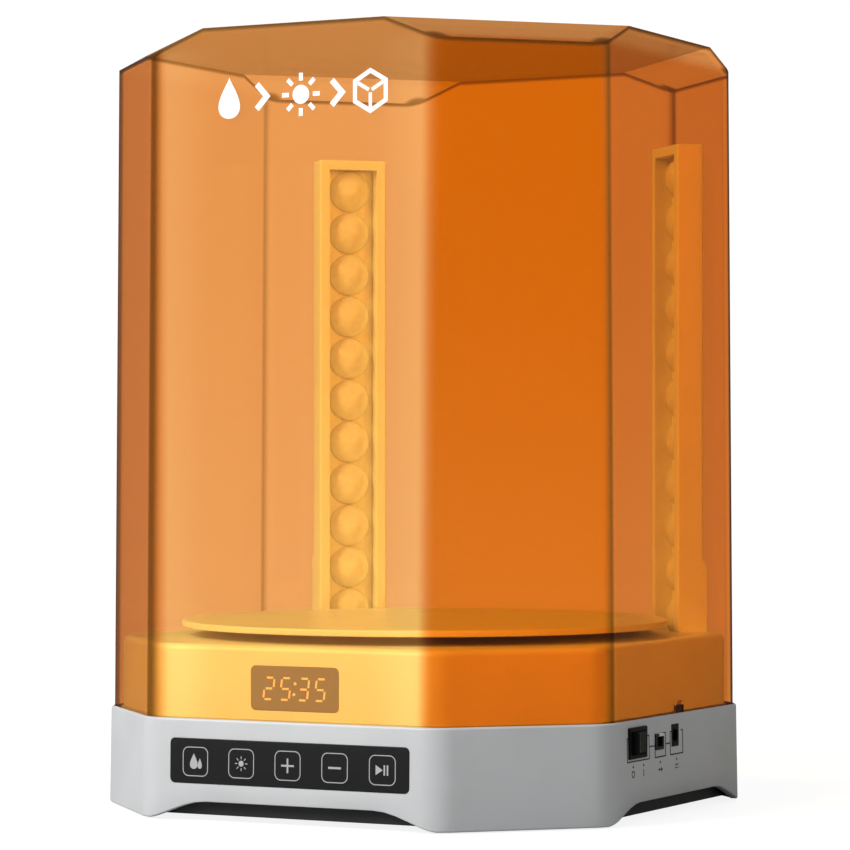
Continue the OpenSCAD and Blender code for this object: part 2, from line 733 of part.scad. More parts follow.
// ---- Light bars: along +X of a frame turned to the corner ----
module light_bar() {
    difference() {
        union() {
            box(bar_front, bar_back, -bar_w / 2, bar_w / 2, bar_foot_z, bar_top);
            // Shelf that thickens the back just above the plinth
            translate([0, bar_w / 2, 0]) rotate([90, 0, 0]) linear_extrude(bar_w) polygon([
                [bar_back - 1, plinth_top], [bar_back + bar_shelf_d, plinth_top],
                [bar_back + bar_shelf_d, bar_shelf_top - 6], [bar_back - 1, bar_shelf_top]
            ]);
            box(bar_front + 1, bar_back - 0.5, -bar_foot_half, bar_foot_half, bar_foot_z, bar_foot_z + bar_foot_t);
        }
        box(bar_front - 1, bar_back - bar_floor, -bar_w / 2 + bar_rim, bar_w / 2 - bar_rim, lamp_low, lamp_top);
        translate([bar_mid, 0, bar_foot_z - 1]) cylinder(d = 6, h = lamp_low - bar_foot_z + 2);
        for (s = [-1, 1]) translate([bar_mid, s * bar_screw_y, bar_foot_z - 1])
            cylinder(d = screw_hole_d, h = bar_foot_t + 2);
    }
}
module led_board() {
    x1 = bar_back - bar_floor;
    box(x1 - led_board_t, x1, -led_board_w / 2, led_board_w / 2, lamp_low + 0.2, lamp_top - 0.2);
}
function lamp_z(i) = lamp_top - led_pitch * (i + 0.5);
module leds() {
    x0 = bar_back - bar_floor - led_board_t;
    for (i = [0:led_count - 1]) translate([x0, 0, lamp_z(i)]) {
        box(-led_base_t, 0, -led_base / 2, led_base / 2, -led_base / 2, led_base / 2);
        translate([-led_base_t, 0, 0]) intersection() {
            sphere(d = led_base - 0.3, $fn = 32);
            translate([-2, 0, 0]) cube(4, center = true);
        }
    }
}
// Domed lens over each LED, on a short round foot
module lenses() {
    x0 = bar_back - bar_floor - led_board_t;
    for (i = [0:led_count - 1]) translate([x0, 0, lamp_z(i)]) rotate([0, -90, 0]) difference() {
        union() {
            cylinder(d = lens_d, h = lens_foot_h);
            intersection() {
                translate([0, 0, lens_foot_h + lens_dome_h - lens_ball_r]) sphere(r = lens_ball_r);
                translate([0, 0, lens_foot_h - eps]) cylinder(d = lens_d, h = 2 * lens_dome_h);
            }
        }
        translate([0, 0, -1]) cylinder(d = lens_cavity_d, h = lens_cavity_h + 1);
    }
}
module light_bar_left() {
    color("whitesmoke") rotate(135) light_bar();
}
module light_bar_right() {
    color("whitesmoke") rotate(45) light_bar();
}
module led_board_left() {
    color("white") rotate(135) led_board();
}
module led_board_right() {
    color("white") rotate(45) led_board();
}
module leds_left() {
    color("lightyellow") rotate(135) leds();
}
module leds_right() {
    color("lightyellow") rotate(45) leds();
}
module lenses_left() {
    color("lightyellow") rotate(135) lenses();
}
module lenses_right() {
    color("lightyellow") rotate(45) lenses();
}
module light_bar_screws() {
    color("silver") bar_screw_places() translate([bar_mid, 0, bar_foot_z]) screw(12);
}

// ---- Drive ----
module drive_frame() {
    color("silver") difference() {
        box(post_x_left - 7, post_x_right + 7, -post_y - 7, post_y + 7, frame_z, frame_top);
        translate([0, 0, frame_z - 1]) cylinder(d = bush_d, h = frame_t + 2);
        translate([gearbox_x, 0, frame_z - 1]) motor_screw_places() cylinder(d = screw_hole_d, h = frame_t + 2);
        translate([shaft_x, 0, frame_z - 1]) cylinder(d = motor_shaft_d + 8.4, h = frame_t + 2);
        drive_posts() translate([0, 0, frame_z - 1]) cylinder(d = screw_hole_d, h = frame_t + 2);
    }
}
module motor_screw_places() {
    for (a = [90, 180, 270]) rotate(a) translate([15.5, 0, 0]) children();
}
module drive_frame_screws() {
    color("silver") drive_posts() translate([0, 0, frame_z]) screw(11);
}
module gearbox() {
    color([0.62, 0.62, 0.65]) difference() {
        union() {
            translate([gearbox_x, 0, gearbox_z]) cylinder(d = gearbox_d, h = gearbox_h);
            translate([shaft_x, 0, frame_z - 1]) cylinder(d = motor_shaft_d + 8, h = frame_t);
        }
        translate([shaft_x, 0, frame_z - 10]) cylinder(d = motor_shaft_d + 2 * fit_gap, h = 20);
        translate([gearbox_x, 0, frame_z - 6]) motor_screw_places() cylinder(d = screw_bore_d, h = 8);
    }
}
module motor_can() {
    color([0.75, 0.75, 0.77]) {
        translate([gearbox_x, 0, can_z]) cylinder(d = can_d, h = gearbox_z - can_z);
        for (y = [-8, 8]) translate([gearbox_x - 0.4, y - 1.4, can_z - 3]) cube([0.8, 2.8, 3 + eps]);
    }
}
module motor_screws() {
    color("silver") translate([gearbox_x, 0, frame_top]) motor_screw_places() rotate([180, 0, 0]) screw(8);
}
module bush(z, h, flange_up) {
    difference() {
        union() {
            translate([0, 0, z]) cylinder(d = bush_d - 0.02, h = h);
            translate([0, 0, flange_up]) cylinder(d = bush_flange_d, h = bush_flange_t);
        }
        translate([0, 0, z - 1]) cylinder(d = spindle_d + 2 * fit_gap, h = h + 4);
    }
}
module upper_bearing() {
    color("peru") bush(hub_boss_low, hub_boss_top - hub_boss_low + eps, hub_boss_top);
}
module lower_bearing() {
    color("peru") bush(lower_bush_z, frame_top - lower_bush_z + eps, frame_top);
}
module spindle() {
    color([0.7, 0.7, 0.72]) difference() {
        translate([0, 0, circlip_z - 2]) cylinder(d = spindle_d, h = dog_z + 3 - circlip_z);
        translate([0, 0, circlip_z]) difference() {
            cylinder(d = spindle_d + 2, h = circlip_t);
            translate([0, 0, -1]) cylinder(d = spindle_d - 1.4, h = circlip_t + 2);
        }
        translate([0, 0, gear_z + gear_t + 1.5]) rotate([90, 0, 0]) cylinder(d = 2, h = 30, center = true);
    }
}
module drive_gear() {
    color("ivory") translate([0, 0, gear_z]) difference() {
        union() {
            rotate(180) linear_extrude(gear_t) polygon(gear_outline(gear_teeth, gear_module));
            cylinder(d = spindle_d + 8, h = gear_t + 3);
        }
        translate([0, 0, -1]) cylinder(d = spindle_d + 0.02, h = gear_t + 6);
        translate([0, 0, gear_t + 1.5]) rotate([90, 0, 0]) cylinder(d = 2, h = 30, center = true);
        // Lightening pockets between hub and rim
        for (a = [0:60:300]) rotate(a + 30) translate([(gear_r + spindle_d / 2) / 2 + 1, 0, -1])
            cylinder(d = gear_r / 3.2, h = gear_t + 2);
    }
}
module gear_pin() {
    color("silver") translate([0, 0, gear_z + gear_t + 1.5]) rotate([90, 0, 0])
        cylinder(d = 1.98, h = spindle_d + 7, center = true);
}
module circlip() {
    color("silver") translate([0, 0, circlip_z]) difference() {
        cylinder(d = spindle_d + 4, h = circlip_t - 0.02);
        translate([0, 0, -1]) cylinder(d = spindle_d - 1.38, h = circlip_t + 2);
        translate([0, -1.5, -1]) cube([spindle_d, 3, circlip_t + 2]);
    }
}
module thrust_washer() {
    color("peru") translate([0, 0, dog_z - washer_t]) difference() {
        cylinder(d = bush_flange_d - 1, h = washer_t);
        translate([0, 0, -1]) cylinder(d = spindle_d + 0.04, h = 3);
    }
}
// Six-sided driver that the turntable drops over
module drive_dog() {
    color([0.3, 0.3, 0.32]) translate([0, 0, dog_z]) difference() {
        cylinder(d = dog_af / cos(30), h = table_z - dog_z, $fn = 6);
        translate([0, 0, -1]) cylinder(d = spindle_d + 0.02, h = 2 + eps);
    }
}
module motor_shaft() {
    color([0.7, 0.7, 0.72]) translate([shaft_x, 0, frame_z - 9.7])
        cylinder(d = motor_shaft_d, h = gear_z + gear_t + 2 - frame_z + 9.7);
}
module pinion() {
    color([0.8, 0.7, 0.4]) translate([shaft_x, 0, gear_z - 1]) difference() {
        rotate(180 / pinion_teeth) linear_extrude(gear_t + 2) polygon(gear_outline(pinion_teeth, gear_module));
        translate([0, 0, -1]) cylinder(d = motor_shaft_d + 0.02, h = gear_t + 4);
    }
}

// ---- Turntable ----
module turntable_disc() {
    color("gainsboro") rotate_extrude($fn = 128) polygon([
        [0, table_z], [table_r - 3, table_z], [table_r - 2.4, table_z - 0.8], [table_r - 0.5, table_z - 0.8],
        [table_r, table_z - 0.3], [table_r, table_top - 0.5], [table_r - 0.5, table_top], [0, table_top]
    ]);
}
module turntable_hub() {
    color("gainsboro") translate([0, 0, hub_z]) difference() {
        cylinder(d = hub_d, h = table_z - hub_z);
        translate([0, 0, -1]) cylinder(d = (dog_af + 2 * clear) / cos(30), h = table_z - hub_z + 2, $fn = 6);
    }
}

// ---- Leads inside the base ----
module power_leads() {
    jack_back = port_face - jack_d;
    switch_back = port_face - switch_body_d - 7;
    low = board_top + 12;
    color("firebrick") {
        wire([[jack_back, jack_y, port_z], [jack_back - 5, jack_y, port_z], [jack_back - 9, -30, port_z - 2],
            [switch_back - 6, switch_y + 10, port_z], [switch_back - 4, switch_y + 5, port_z],
            [switch_back, switch_y + 5, port_z]], lead_d);
        wire([[switch_back, switch_y - 5, port_z], [switch_back - 4, switch_y - 5, port_z], [76, -52, low + 2],
            [72, 6 - board_half, low], [72, 6 - board_half, board_top + 7]], lead_d);
    }
}
module motor_leads() {
    low = can_z - 1.6;
    color("firebrick") for (s = [-1, 1])
        wire([[gearbox_x + 0.4, s * 8, low], [gearbox_x + 6, s * 8, low], [gearbox_x + 24, 26 + s * 4, low],
            [10, 52 + s * 3, lead_z + 4], [30, 56 + s * 3, board_top + 9], [35 + s * 3, board_half - 2, board_top + 11],
            [35 + s * 3, board_half - 6, board_top + 10], [35 + s * 3, board_half - 6, board_top + 7]], lead_d);
}
module display_leads() {
    back = display_back + board_t + 0.1;
    color("dimgray") for (i = [-1, 1])
        wire([[20 + i * 2, back, window_z - 6], [20 + i * 2, back + 5, window_z - 6],
            [24 + i * 2, -102, base_h + 6], [26 + i * 2, -101, base_h - 12], [36 + i * 2, -60, board_top + 12],
            [36 + i * 2, 6 - board_half, board_top + 11], [36 + i * 2, 6 - board_half, board_top + 7]], lead_d);
}
module touch_leads() {
    back = touch_board_y + touch_board_t;
    color("dimgray") for (i = [-1, 1])
        wire([[54 + i * 2, back, panel_z], [54 + i * 2, back + 5, panel_z], [54 + i * 2, -80, board_top + 6],
            [54 + i * 2, 3 - board_half, board_top + 11], [54 + i * 2, 6 - board_half, board_top + 11],
            [54 + i * 2, 6 - board_half, board_top + 7]], lead_d);
}
module light_bar_leads() {
    drop = bar_foot_z - 6;
    out = bar_mid / sqrt(2);
    inside = (corner_reach(flange_in) - 10) / sqrt(2);
    end_y = board_half - 6;
    color("firebrick") {
        wire([[out, out, lamp_low - 1], [out, out, drop], [inside, inside, drop - 4],
            [inside - 4, inside - 4, drop - 18], [65, end_y, board_top + 14], [65, end_y, board_top + 7]], lead_d);
        wire([[-out, out, lamp_low - 1], [-out, out, drop], [-inside, inside, drop - 4],
            [4 - inside, inside - 4, drop - 18], [0, inside - 2, drop - 24], [46, 62, board_top + 16],
            [50, end_y, board_top + 13], [50, end_y, board_top + 7]], lead_d);
    }
}

cover();
base_housing();
bottom_tray();
rubber_feet();
tray_screws();
plinth();
plinth_screws();
cover_sensor();
control_overlay();
touch_springs();
touch_board();
touch_board_screws();
display_window();
display_module();
display_board();
display_board_screws();
main_board();
main_board_screws();
board_connectors();
board_capacitors();
board_chips();
buzzer();
dc_jack();
output_socket();
switch_body();
switch_terminals();
switch_rocker();
light_bar_left();
led_board_left();
leds_left();
lenses_left();
light_bar_right();
led_board_right();
leds_right();
lenses_right();
light_bar_screws();
drive_frame();
drive_frame_screws();
gearbox();
motor_can();
motor_screws();
upper_bearing();
lower_bearing();
spindle();
drive_gear();
gear_pin();
circlip();
thrust_washer();
drive_dog();
motor_shaft();
pinion();
turntable_disc();
turntable_hub();
power_leads();
motor_leads();
display_leads();
touch_leads();
light_bar_leads();
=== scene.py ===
# %% [markdown]
# # A tabletop UV curing lamp
# The lamp is a grey octagonal base, a turntable, two upright rows of ultraviolet lamps and a clear orange
# cover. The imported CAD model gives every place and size. This script draws the skins that the eye meets as
# smooth surfaces, and gives each piece a finish with the fine detail of the real material.

# %% Load the frame
import json
import math

import bmesh
import bpy
import numpy as np
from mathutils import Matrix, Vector


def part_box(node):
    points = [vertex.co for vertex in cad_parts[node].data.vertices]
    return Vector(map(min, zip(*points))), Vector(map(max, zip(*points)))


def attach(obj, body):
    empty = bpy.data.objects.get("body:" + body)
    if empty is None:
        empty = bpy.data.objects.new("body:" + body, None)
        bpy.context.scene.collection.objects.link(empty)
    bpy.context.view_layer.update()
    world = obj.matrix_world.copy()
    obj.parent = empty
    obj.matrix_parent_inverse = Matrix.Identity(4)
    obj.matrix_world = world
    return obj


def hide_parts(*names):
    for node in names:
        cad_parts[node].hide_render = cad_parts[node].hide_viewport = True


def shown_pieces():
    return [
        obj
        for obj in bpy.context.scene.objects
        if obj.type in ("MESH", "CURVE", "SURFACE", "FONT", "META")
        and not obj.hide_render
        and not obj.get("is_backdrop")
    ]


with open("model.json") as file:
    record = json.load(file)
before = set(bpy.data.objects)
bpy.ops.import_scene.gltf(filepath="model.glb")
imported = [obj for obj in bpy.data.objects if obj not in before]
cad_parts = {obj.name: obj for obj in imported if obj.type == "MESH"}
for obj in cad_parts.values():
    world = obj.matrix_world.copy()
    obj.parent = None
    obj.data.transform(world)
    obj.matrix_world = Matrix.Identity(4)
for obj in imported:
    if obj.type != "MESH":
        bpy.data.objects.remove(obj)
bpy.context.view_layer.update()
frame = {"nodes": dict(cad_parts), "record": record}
MM = 0.001

# %% [markdown]
# The driving sizes come from the frame's boxes. A few more describe the octagon: how far its corners are cut
# back, how its upright corners are rounded, and how thick the walls are.

# %% Sizes
cover_low, cover_high = (np.array(p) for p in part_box("cover"))
base_low, base_high = (np.array(p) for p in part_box("base_housing"))
plinth_low, plinth_high = (np.array(p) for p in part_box("plinth"))
disc_low, disc_high = (np.array(p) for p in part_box("turntable_disc"))
HALF = cover_high[0]
TOP = cover_high[2]
GROOVE = cover_low[2]
LEDGE = base_high[2]
DECK = plinth_high[2]
SKIRT = base_low[2]
DRAFT = 2 * MM
WALL = 3 * MM
LEG = 61 * MM
REACH = (2 * HALF - LEG) / math.sqrt(2)
CORNER = 20 * MM
CORNER_MIN = 4 * MM
FACET_DROP = 11 * MM
FACET_RUN = 28 * MM
PROUD = 1.7 * MM
FLARE = base_high[0] - HALF - PROUD
PLINTH_IN = HALF - plinth_high[0]
ARCH = 9.8 * MM
ARCH_HALF = 46 * MM
ARCH_BLEND = 40 * MM
NOTCH = (7.85 * MM, 12.95 * MM)
SENSOR_SLOT = (8.05 * MM, 12.75 * MM)
print("cover half width", HALF, "top", TOP, "ledge", LEDGE, "deck", DECK, "plinth inset", PLINTH_IN)

# %% [markdown]
# ## From arrays to meshes
# Every new skin starts as a grid of points: rows go up a profile, columns go round it. Quads follow from
# index arithmetic, so no loop visits a vertex. Points that coincide at a pole are merged afterwards.

# %% Mesh helpers
def grid_faces(rows, columns, wrap_rows=False, wrap_columns=False):
    """Quads of a rows x columns grid: each joins a point to the next column, the next row, and both."""
    i = np.arange(rows if wrap_rows else rows - 1)[:, None]
    j = np.arange(columns if wrap_columns else columns - 1)[None, :]
    down, up = i % rows * columns, (i + 1) % rows * columns
    left, right = j % columns, (j + 1) % columns
    return np.stack([down + left, down + right, up + right, up + left], -1).reshape(-1, 4)


def make_piece(name, parts, sharp=32, merge=1e-6, outward=True):
    """One object from a list of (points, faces) parts, merged where points meet and smooth but for sharp
    edges. A closed piece has its faces turned outward."""
    points, faces, start = [], [], 0
    for part_points, part_faces in parts:
        flat = np.asarray(part_points, float).reshape(-1, 3)
        points.append(flat)
        faces += (np.asarray(part_faces) + start).tolist()
        start += len(flat)
    mesh = bpy.data.meshes.new(name)
    mesh.from_pydata(np.concatenate(points).tolist(), [], faces)
    work = bmesh.new()
    work.from_mesh(mesh)
    bmesh.ops.remove_doubles(work, verts=work.verts, dist=merge)
    bmesh.ops.dissolve_degenerate(work, edges=work.edges, dist=merge)
    if outward:
        bmesh.ops.recalc_face_normals(work, faces=work.faces)
    work.to_mesh(mesh)
    work.free()
    mesh.shade_smooth()
    mesh.set_sharp_from_angle(angle=math.radians(sharp))
    piece = bpy.data.objects.new(name, mesh)
    bpy.context.scene.collection.objects.link(piece)
    return piece


def finish_piece(piece, body, paint, replaced=()):
    """Gives the piece its paint and its body, and hides the CAD nodes that it stands for."""
    piece.data.materials.clear()
    piece.data.materials.append(paint)
    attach(piece, body)
    if replaced:
        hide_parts(*replaced)
    print(piece.name, len(piece.data.polygons), "faces on", body)
    return piece


def apply_modifiers(piece):
    """Bakes the piece's modifiers into its mesh, so that later cuts see the real surface."""
    graph = bpy.context.evaluated_depsgraph_get()
    mesh = bpy.data.meshes.new_from_object(piece.evaluated_get(graph))
    piece.modifiers.clear()
    piece.data = mesh
    return piece


def cut(piece, cutters, operation="DIFFERENCE"):
    """Cuts the cutters out of the piece, or joins them to it, and removes them."""
    for cutter in cutters:
        step = piece.modifiers.new("cut", "BOOLEAN")
        step.operation = operation
        step.object = cutter
        step.solver = "EXACT"
    apply_modifiers(piece)
    for cutter in cutters:
        bpy.data.objects.remove(cutter)
    return piece


def soften(piece, width, steps=3, angle=24):
    """Rounds every edge sharper than the angle with a small bevel."""
    bevel = piece.modifiers.new("soft edges", "BEVEL")
    bevel.width = width
    bevel.segments = steps
    bevel.limit_method = "ANGLE"
    bevel.angle_limit = math.radians(angle)
    bevel.harden_normals = True
    return piece


print("helpers ready")

# %% [markdown]
# ## Shapes that repeat
# The octagon is one formula. Its eight sides have normals every 45 degrees. Moving it in by an inset moves
# each side along its normal, which is also how a moulded wall keeps its thickness.

# %% The octagon and other outlines
def stations(length, crease, fine):
    """Places along a flat side, from -length to length, with one exactly at each crease."""
    outer = np.linspace(crease, length, 5)
    return np.concatenate([-outer[::-1], np.linspace(-crease, crease, fine)[1:-1], outer])


def octagon(inset, flat_crease=49 * MM, flat_fine=40, cut_fine=13, arc_steps=10):
    """Round-cornered octagon moved in by inset: straight sides at right angles to directions 45 degrees
    apart, joined by arcs of the corner radius less the inset. Returns columns counter-clockwise."""
    radius = max(CORNER - inset, CORNER_MIN)
    leg = LEG - inset * (2 - math.sqrt(2))
    lean = radius * math.tan(math.pi / 8)
    half = HALF - inset
    columns = []
    for side in range(8):
        angle = side * math.pi / 4
        normal = np.array([math.cos(angle), math.sin(angle)])
        along = np.array([-normal[1], normal[0]])
        flat = side % 2 == 0
        reach = half if flat else REACH - inset
        length = half - leg - lean if flat else leg / math.sqrt(2) - lean
        places = stations(length, flat_crease, flat_fine) if flat else np.linspace(-length, length, cut_fine)
        columns.append(reach * normal + places[:, None] * along)
        turn = angle + np.linspace(0, math.pi / 4, arc_steps + 1)[1:-1]
        centre = (reach - radius) * normal + length * along
        columns.append(centre + radius * np.stack([np.cos(turn), np.sin(turn)], -1))
    return np.concatenate(columns)


def octagon_rings(profile, **fineness):
    """The octagon carried up a profile of (inset, height) rows."""
    rings = []
    for inset, height in profile:
        plan = octagon(inset, **fineness)
        rings.append(np.column_stack([plan, np.full(len(plan), height)]))
    return np.stack(rings)


def shrink_to_centre(ring, shares=(0.9, 0.75, 0.5, 0.25, 0)):
    """Rings that close a flat top: the last ring times falling shares of its size about the axis."""
    return np.stack([np.column_stack([ring[:, :2] * share, ring[:, 2]]) for share in shares])


def eased(points, radii, steps=6):
    """A polyline whose corners are swapped for arcs: each arc touches both legs at radius * tan(turn / 2)
    from the corner, and its points follow the circle between them."""
    points = [np.array(p, float) for p in points]
    result = [points[0]]
    for before, corner, after, radius in zip(points, points[1:], points[2:], radii):
        if radius == 0:
            result.append(corner)
            continue
        back = (before - corner) / np.linalg.norm(before - corner)
        on = (after - corner) / np.linalg.norm(after - corner)
        half_turn = math.acos(np.clip(back @ on, -1, 1)) / 2
        centre = corner + (back + on) / np.linalg.norm(back + on) * radius / math.sin(half_turn)
        start = corner + back * radius / math.tan(half_turn) - centre
        end = corner + on * radius / math.tan(half_turn) - centre
        sweep = math.pi - 2 * half_turn
        share = np.linspace(0, 1, steps + 1)[:, None]
        arc = (np.sin((1 - share) * sweep) * start + np.sin(share * sweep) * end) / math.sin(sweep)
        result += list(centre + arc)
    result.append(points[-1])
    return np.array(result)


def spun(profile, steps=96, centre=(0, 0)):
    """A profile of (radius, height) rows turned about an upright axis through centre."""
    profile = np.asarray(profile)
    turn = np.linspace(0, 2 * math.pi, steps, endpoint=False)
    radius, height = profile[:, :1], profile[:, 1:]
    points = np.stack([centre[0] + radius * np.cos(turn), centre[1] + radius * np.sin(turn),
                       np.broadcast_to(height, (len(profile), steps))], -1)
    return points, grid_faces(len(profile), steps, wrap_columns=True)


def soft_box(low, high, radius, steps=4):
    """A box with round edges. Each point of a cube's skin keeps to the corner of the box smaller by the
    radius, and is pushed out from there by the radius, along the skin point's own direction."""
    low, high = np.array(low, float), np.array(high, float)
    middle, core = (low + high) / 2, (high - low) / 2 - radius
    angle = np.linspace(0, math.pi / 4, steps + 1)
    ramp = np.tan(np.concatenate([-angle[::-1], angle]))
    side = np.repeat([-1.0, 1.0], steps + 1)
    parts = []
    for axis in range(3):
        for sign in (-1, 1):
            skin = np.empty((len(ramp), len(ramp), 3))
            inner = np.empty_like(skin)
            skin[..., axis] = inner[..., axis] = sign
            skin[..., (axis + 1) % 3], inner[..., (axis + 1) % 3] = ramp[None, :], side[None, :]
            skin[..., (axis + 2) % 3] = ramp[:, None] * sign
            inner[..., (axis + 2) % 3] = side[:, None] * sign
            out = skin / np.linalg.norm(skin, axis=-1, keepdims=True)
            parts.append((middle + inner * core + radius * out, grid_faces(len(ramp), len(ramp))))
    return parts


def plate(outline_points, place, depth):
    """A flat plate: an outline of (u, v) points set out by place, which gives (u, v, w) a point in space,
    with its face at w = 0 and its back at w = -depth."""
    count = len(outline_points)
    u, v = np.asarray(outline_points).T
    front = place(u, v, np.zeros(count))
    back = place(u, v, np.full(count, -depth))
    walls = grid_faces(2, count, wrap_columns=True)
    around = list(range(count))
    return [(np.stack([back, front]), walls), (front, [around]), (back, [around[::-1]])]


def rounded_rectangle(width, height, radius, steps=6):
    """Outline of a rectangle whose corners are quarter circles."""
    turn = np.linspace(0, math.pi / 2, steps + 1)
    quarter = []
    for k, (sx, sy) in enumerate([(1, 1), (-1, 1), (-1, -1), (1, -1)]):
        angle = turn + k * math.pi / 2
        quarter.append(np.column_stack([sx * (width / 2 - radius) + radius * np.cos(angle),
                                        sy * (height / 2 - radius) + radius * np.sin(angle)]))
    return np.concatenate(quarter)


print("octagon columns:", len(octagon(0)))

# %% [markdown]
# ## Shader sums written as Python
# A material is arithmetic on a few patterns. This small class wraps a socket, so that a + b or 1 - a adds the
# Math node that works it out. Anything else comes from one method that takes a node's type, its settings and
# its inputs.

# %% Shader helpers
class Wire:
    """A shader socket that takes part in Python sums."""

    def __init__(self, paint, socket):
        self.paint, self.socket = paint, socket

    def sum(self, operation, first, second=0.0):
        return self.paint.node("ShaderNodeMath", {"operation": operation}, {0: first, 1: second})

    def __add__(self, other): return self.sum("ADD", self, other)
    def __radd__(self, other): return self.sum("ADD", other, self)
    def __sub__(self, other): return self.sum("SUBTRACT", self, other)
    def __rsub__(self, other): return self.sum("SUBTRACT", other, self)
    def __mul__(self, other): return self.sum("MULTIPLY", self, other)
    def __rmul__(self, other): return self.sum("MULTIPLY", other, self)
    def __truediv__(self, other): return self.sum("DIVIDE", self, other)
    def __abs__(self): return self.sum("ABSOLUTE", self)
    def power(self, other): return self.sum("POWER", self, other)
    def least(self, other): return self.sum("MINIMUM", self, other)
    def most(self, other): return self.sum("MAXIMUM", self, other)

    def ramp(self, low, high, to_low=0.0, to_high=1.0):
        """Eases from to_low to to_high while the value goes from low to high."""
        return self.paint.node("ShaderNodeMapRange", {"interpolation_type": "SMOOTHSTEP"},
                               {"Value": self, "From Min": low, "From Max": high,
                                "To Min": to_low, "To Max": to_high})


class Paint:
    def __init__(self, name):
        self.material = bpy.data.materials.new(name)
        self.material.use_nodes = True
        self.tree = self.material.node_tree
        self.tree.nodes.clear()

    def node(self, kind, settings=None, inputs=None, output=0):
        """Adds a node of that type, applies its settings, then sets or links its inputs."""
        made = self.tree.nodes.new(kind)
        for key, value in (settings or {}).items():
            setattr(made, key, value)
        for key, value in (inputs or {}).items():
            if isinstance(value, Wire):
                self.tree.links.new(value.socket, made.inputs[key])
            elif value is not None:
                socket = made.inputs[key]
                colour = socket.type == "RGBA" and len(value) == 3
                socket.default_value = (*value, 1) if colour else value
        return Wire(self, made.outputs[output])

    def place(self):
        """Object coordinates, and the same split into x, y and z."""
        point = self.node("ShaderNodeTexCoord", output=3)
        split = self.tree.nodes.new("ShaderNodeSeparateXYZ")
        self.tree.links.new(point.socket, split.inputs[0])
        return (point, *[Wire(self, out) for out in split.outputs])

    def noise(self, point, size, detail=2.0, roughness=0.5):
        """Soft noise whose blots are about size metres across."""
        return self.node("ShaderNodeTexNoise", None,
                         {"Vector": point, "Scale": 1 / size, "Detail": detail, "Roughness": roughness})

    def blend(self, share, first, second):
        """Colour between first and second."""
        return self.node("ShaderNodeMix", {"data_type": "RGBA"}, {0: share, 6: first, 7: second}, output=2)

    def mix(self, share, first, second):
        """A shader between first and second."""
        return self.node("ShaderNodeMixShader", None, {0: share, 1: first, 2: second})

    def clear(self, colour):
        """A shader that tints what lies behind it."""
        return self.node("ShaderNodeBsdfTransparent", None, {"Color": colour})

    def bump(self, height, depth, strength=1.0, normal=None):
        """A normal that follows a height pattern, depth metres from low to high."""
        inputs = {"Height": height, "Distance": depth, "Strength": strength}
        if normal is not None:
            inputs["Normal"] = normal
        return self.node("ShaderNodeBump", None, inputs)

    def principled(self, **values):
        """A Principled shader: keyword names with _ stand for socket names with spaces."""
        return self.node("ShaderNodeBsdfPrincipled", None,
                         {name.replace("_", " "): value for name, value in values.items()})

    def finish(self, shader):
        out = self.tree.nodes.new("ShaderNodeOutputMaterial")
        self.tree.links.new(shader.socket, out.inputs["Surface"])
        return self.material


print("shader helpers ready")

# %% [markdown]
# ## Finishes
# Moulded plastic is never quite flat: the steel mould is spark-eroded, which leaves a fine pebble that breaks
# up the gloss, and large panels carry a faint unevenness from cooling. Three sizes of noise give that. The
# same recipe with other numbers serves nylon, acetal and rubber.

# %% Moulded plastics
def moulded(name, colour, gloss=0.45, pebble=0.5 * MM, depth=0.012 * MM, mottle=0.02, coat=0.0, shine=0.5):
    """Base colour with faint cooling marks and dust, a pebbled bump, and roughness that follows both."""
    paint = Paint(name)
    point = paint.place()[0]
    broad = paint.noise(point, 45 * MM, 3)
    fine = paint.noise(point, pebble, 2, 0.6)
    specks = paint.noise(point, 2.2 * MM, 4, 0.7)
    darker = tuple(c * (1 - 3 * mottle) for c in colour)
    lighter = tuple(min(c * (1 + 2 * mottle), 1) for c in colour)
    shade = paint.blend(broad.ramp(0.35, 0.65), darker, lighter)
    shade = paint.blend(specks.ramp(0.62, 0.80, 0, 0.10), shade, tuple(c * 0.72 for c in colour))
    rough = gloss + (fine - 0.5) * 0.14 + (broad - 0.5) * 0.10
    normal = paint.bump(fine, depth, 0.8, paint.bump(broad, 0.05 * MM, 0.35))
    return paint.finish(paint.principled(Base_Color=shade, Roughness=rough, Normal=normal, Coat_Weight=coat,
                                         Coat_Roughness=0.12, IOR=1.49, Specular_IOR_Level=shine))


base_grey = moulded("base grey moulding", (0.55, 0.56, 0.565), 0.42, 0.55 * MM, 0.016 * MM, 0.012)
deck_white = moulded("deck white moulding", (0.80, 0.80, 0.79), 0.38, 0.5 * MM, 0.010 * MM, 0.010)
bar_white = moulded("light bar moulding", (0.86, 0.86, 0.85), 0.34, 0.45 * MM, 0.008 * MM, 0.008)
tray_black = moulded("tray black moulding", (0.022, 0.022, 0.024), 0.5, 0.7 * MM, 0.03 * MM, 0.04, 0.0, 0.3)
trim_black = moulded("small black moulding", (0.006, 0.006, 0.0065), 0.36, 0.35 * MM, 0.008 * MM, 0.04,
                     0.0, 0.06)
rocker_black = moulded("rocker moulding", (0.006, 0.006, 0.0065), 0.28, 0.3 * MM, 0.004 * MM, 0.04, 0.0, 0.10)
nylon = moulded("natural nylon", (0.78, 0.75, 0.66), 0.40, 0.4 * MM, 0.006 * MM, 0.02)
acetal = moulded("dark acetal", (0.06, 0.06, 0.065), 0.30, 0.3 * MM, 0.004 * MM, 0.03)
soft_rubber = moulded("foot rubber", (0.02, 0.02, 0.02), 0.78, 0.9 * MM, 0.05 * MM, 0.08)
sleeve = moulded("capacitor sleeve", (0.03, 0.035, 0.10), 0.22, 0.6 * MM, 0.004 * MM, 0.03)
red_wire = moulded("red insulation", (0.45, 0.03, 0.025), 0.36, 0.5 * MM, 0.006 * MM, 0.03)
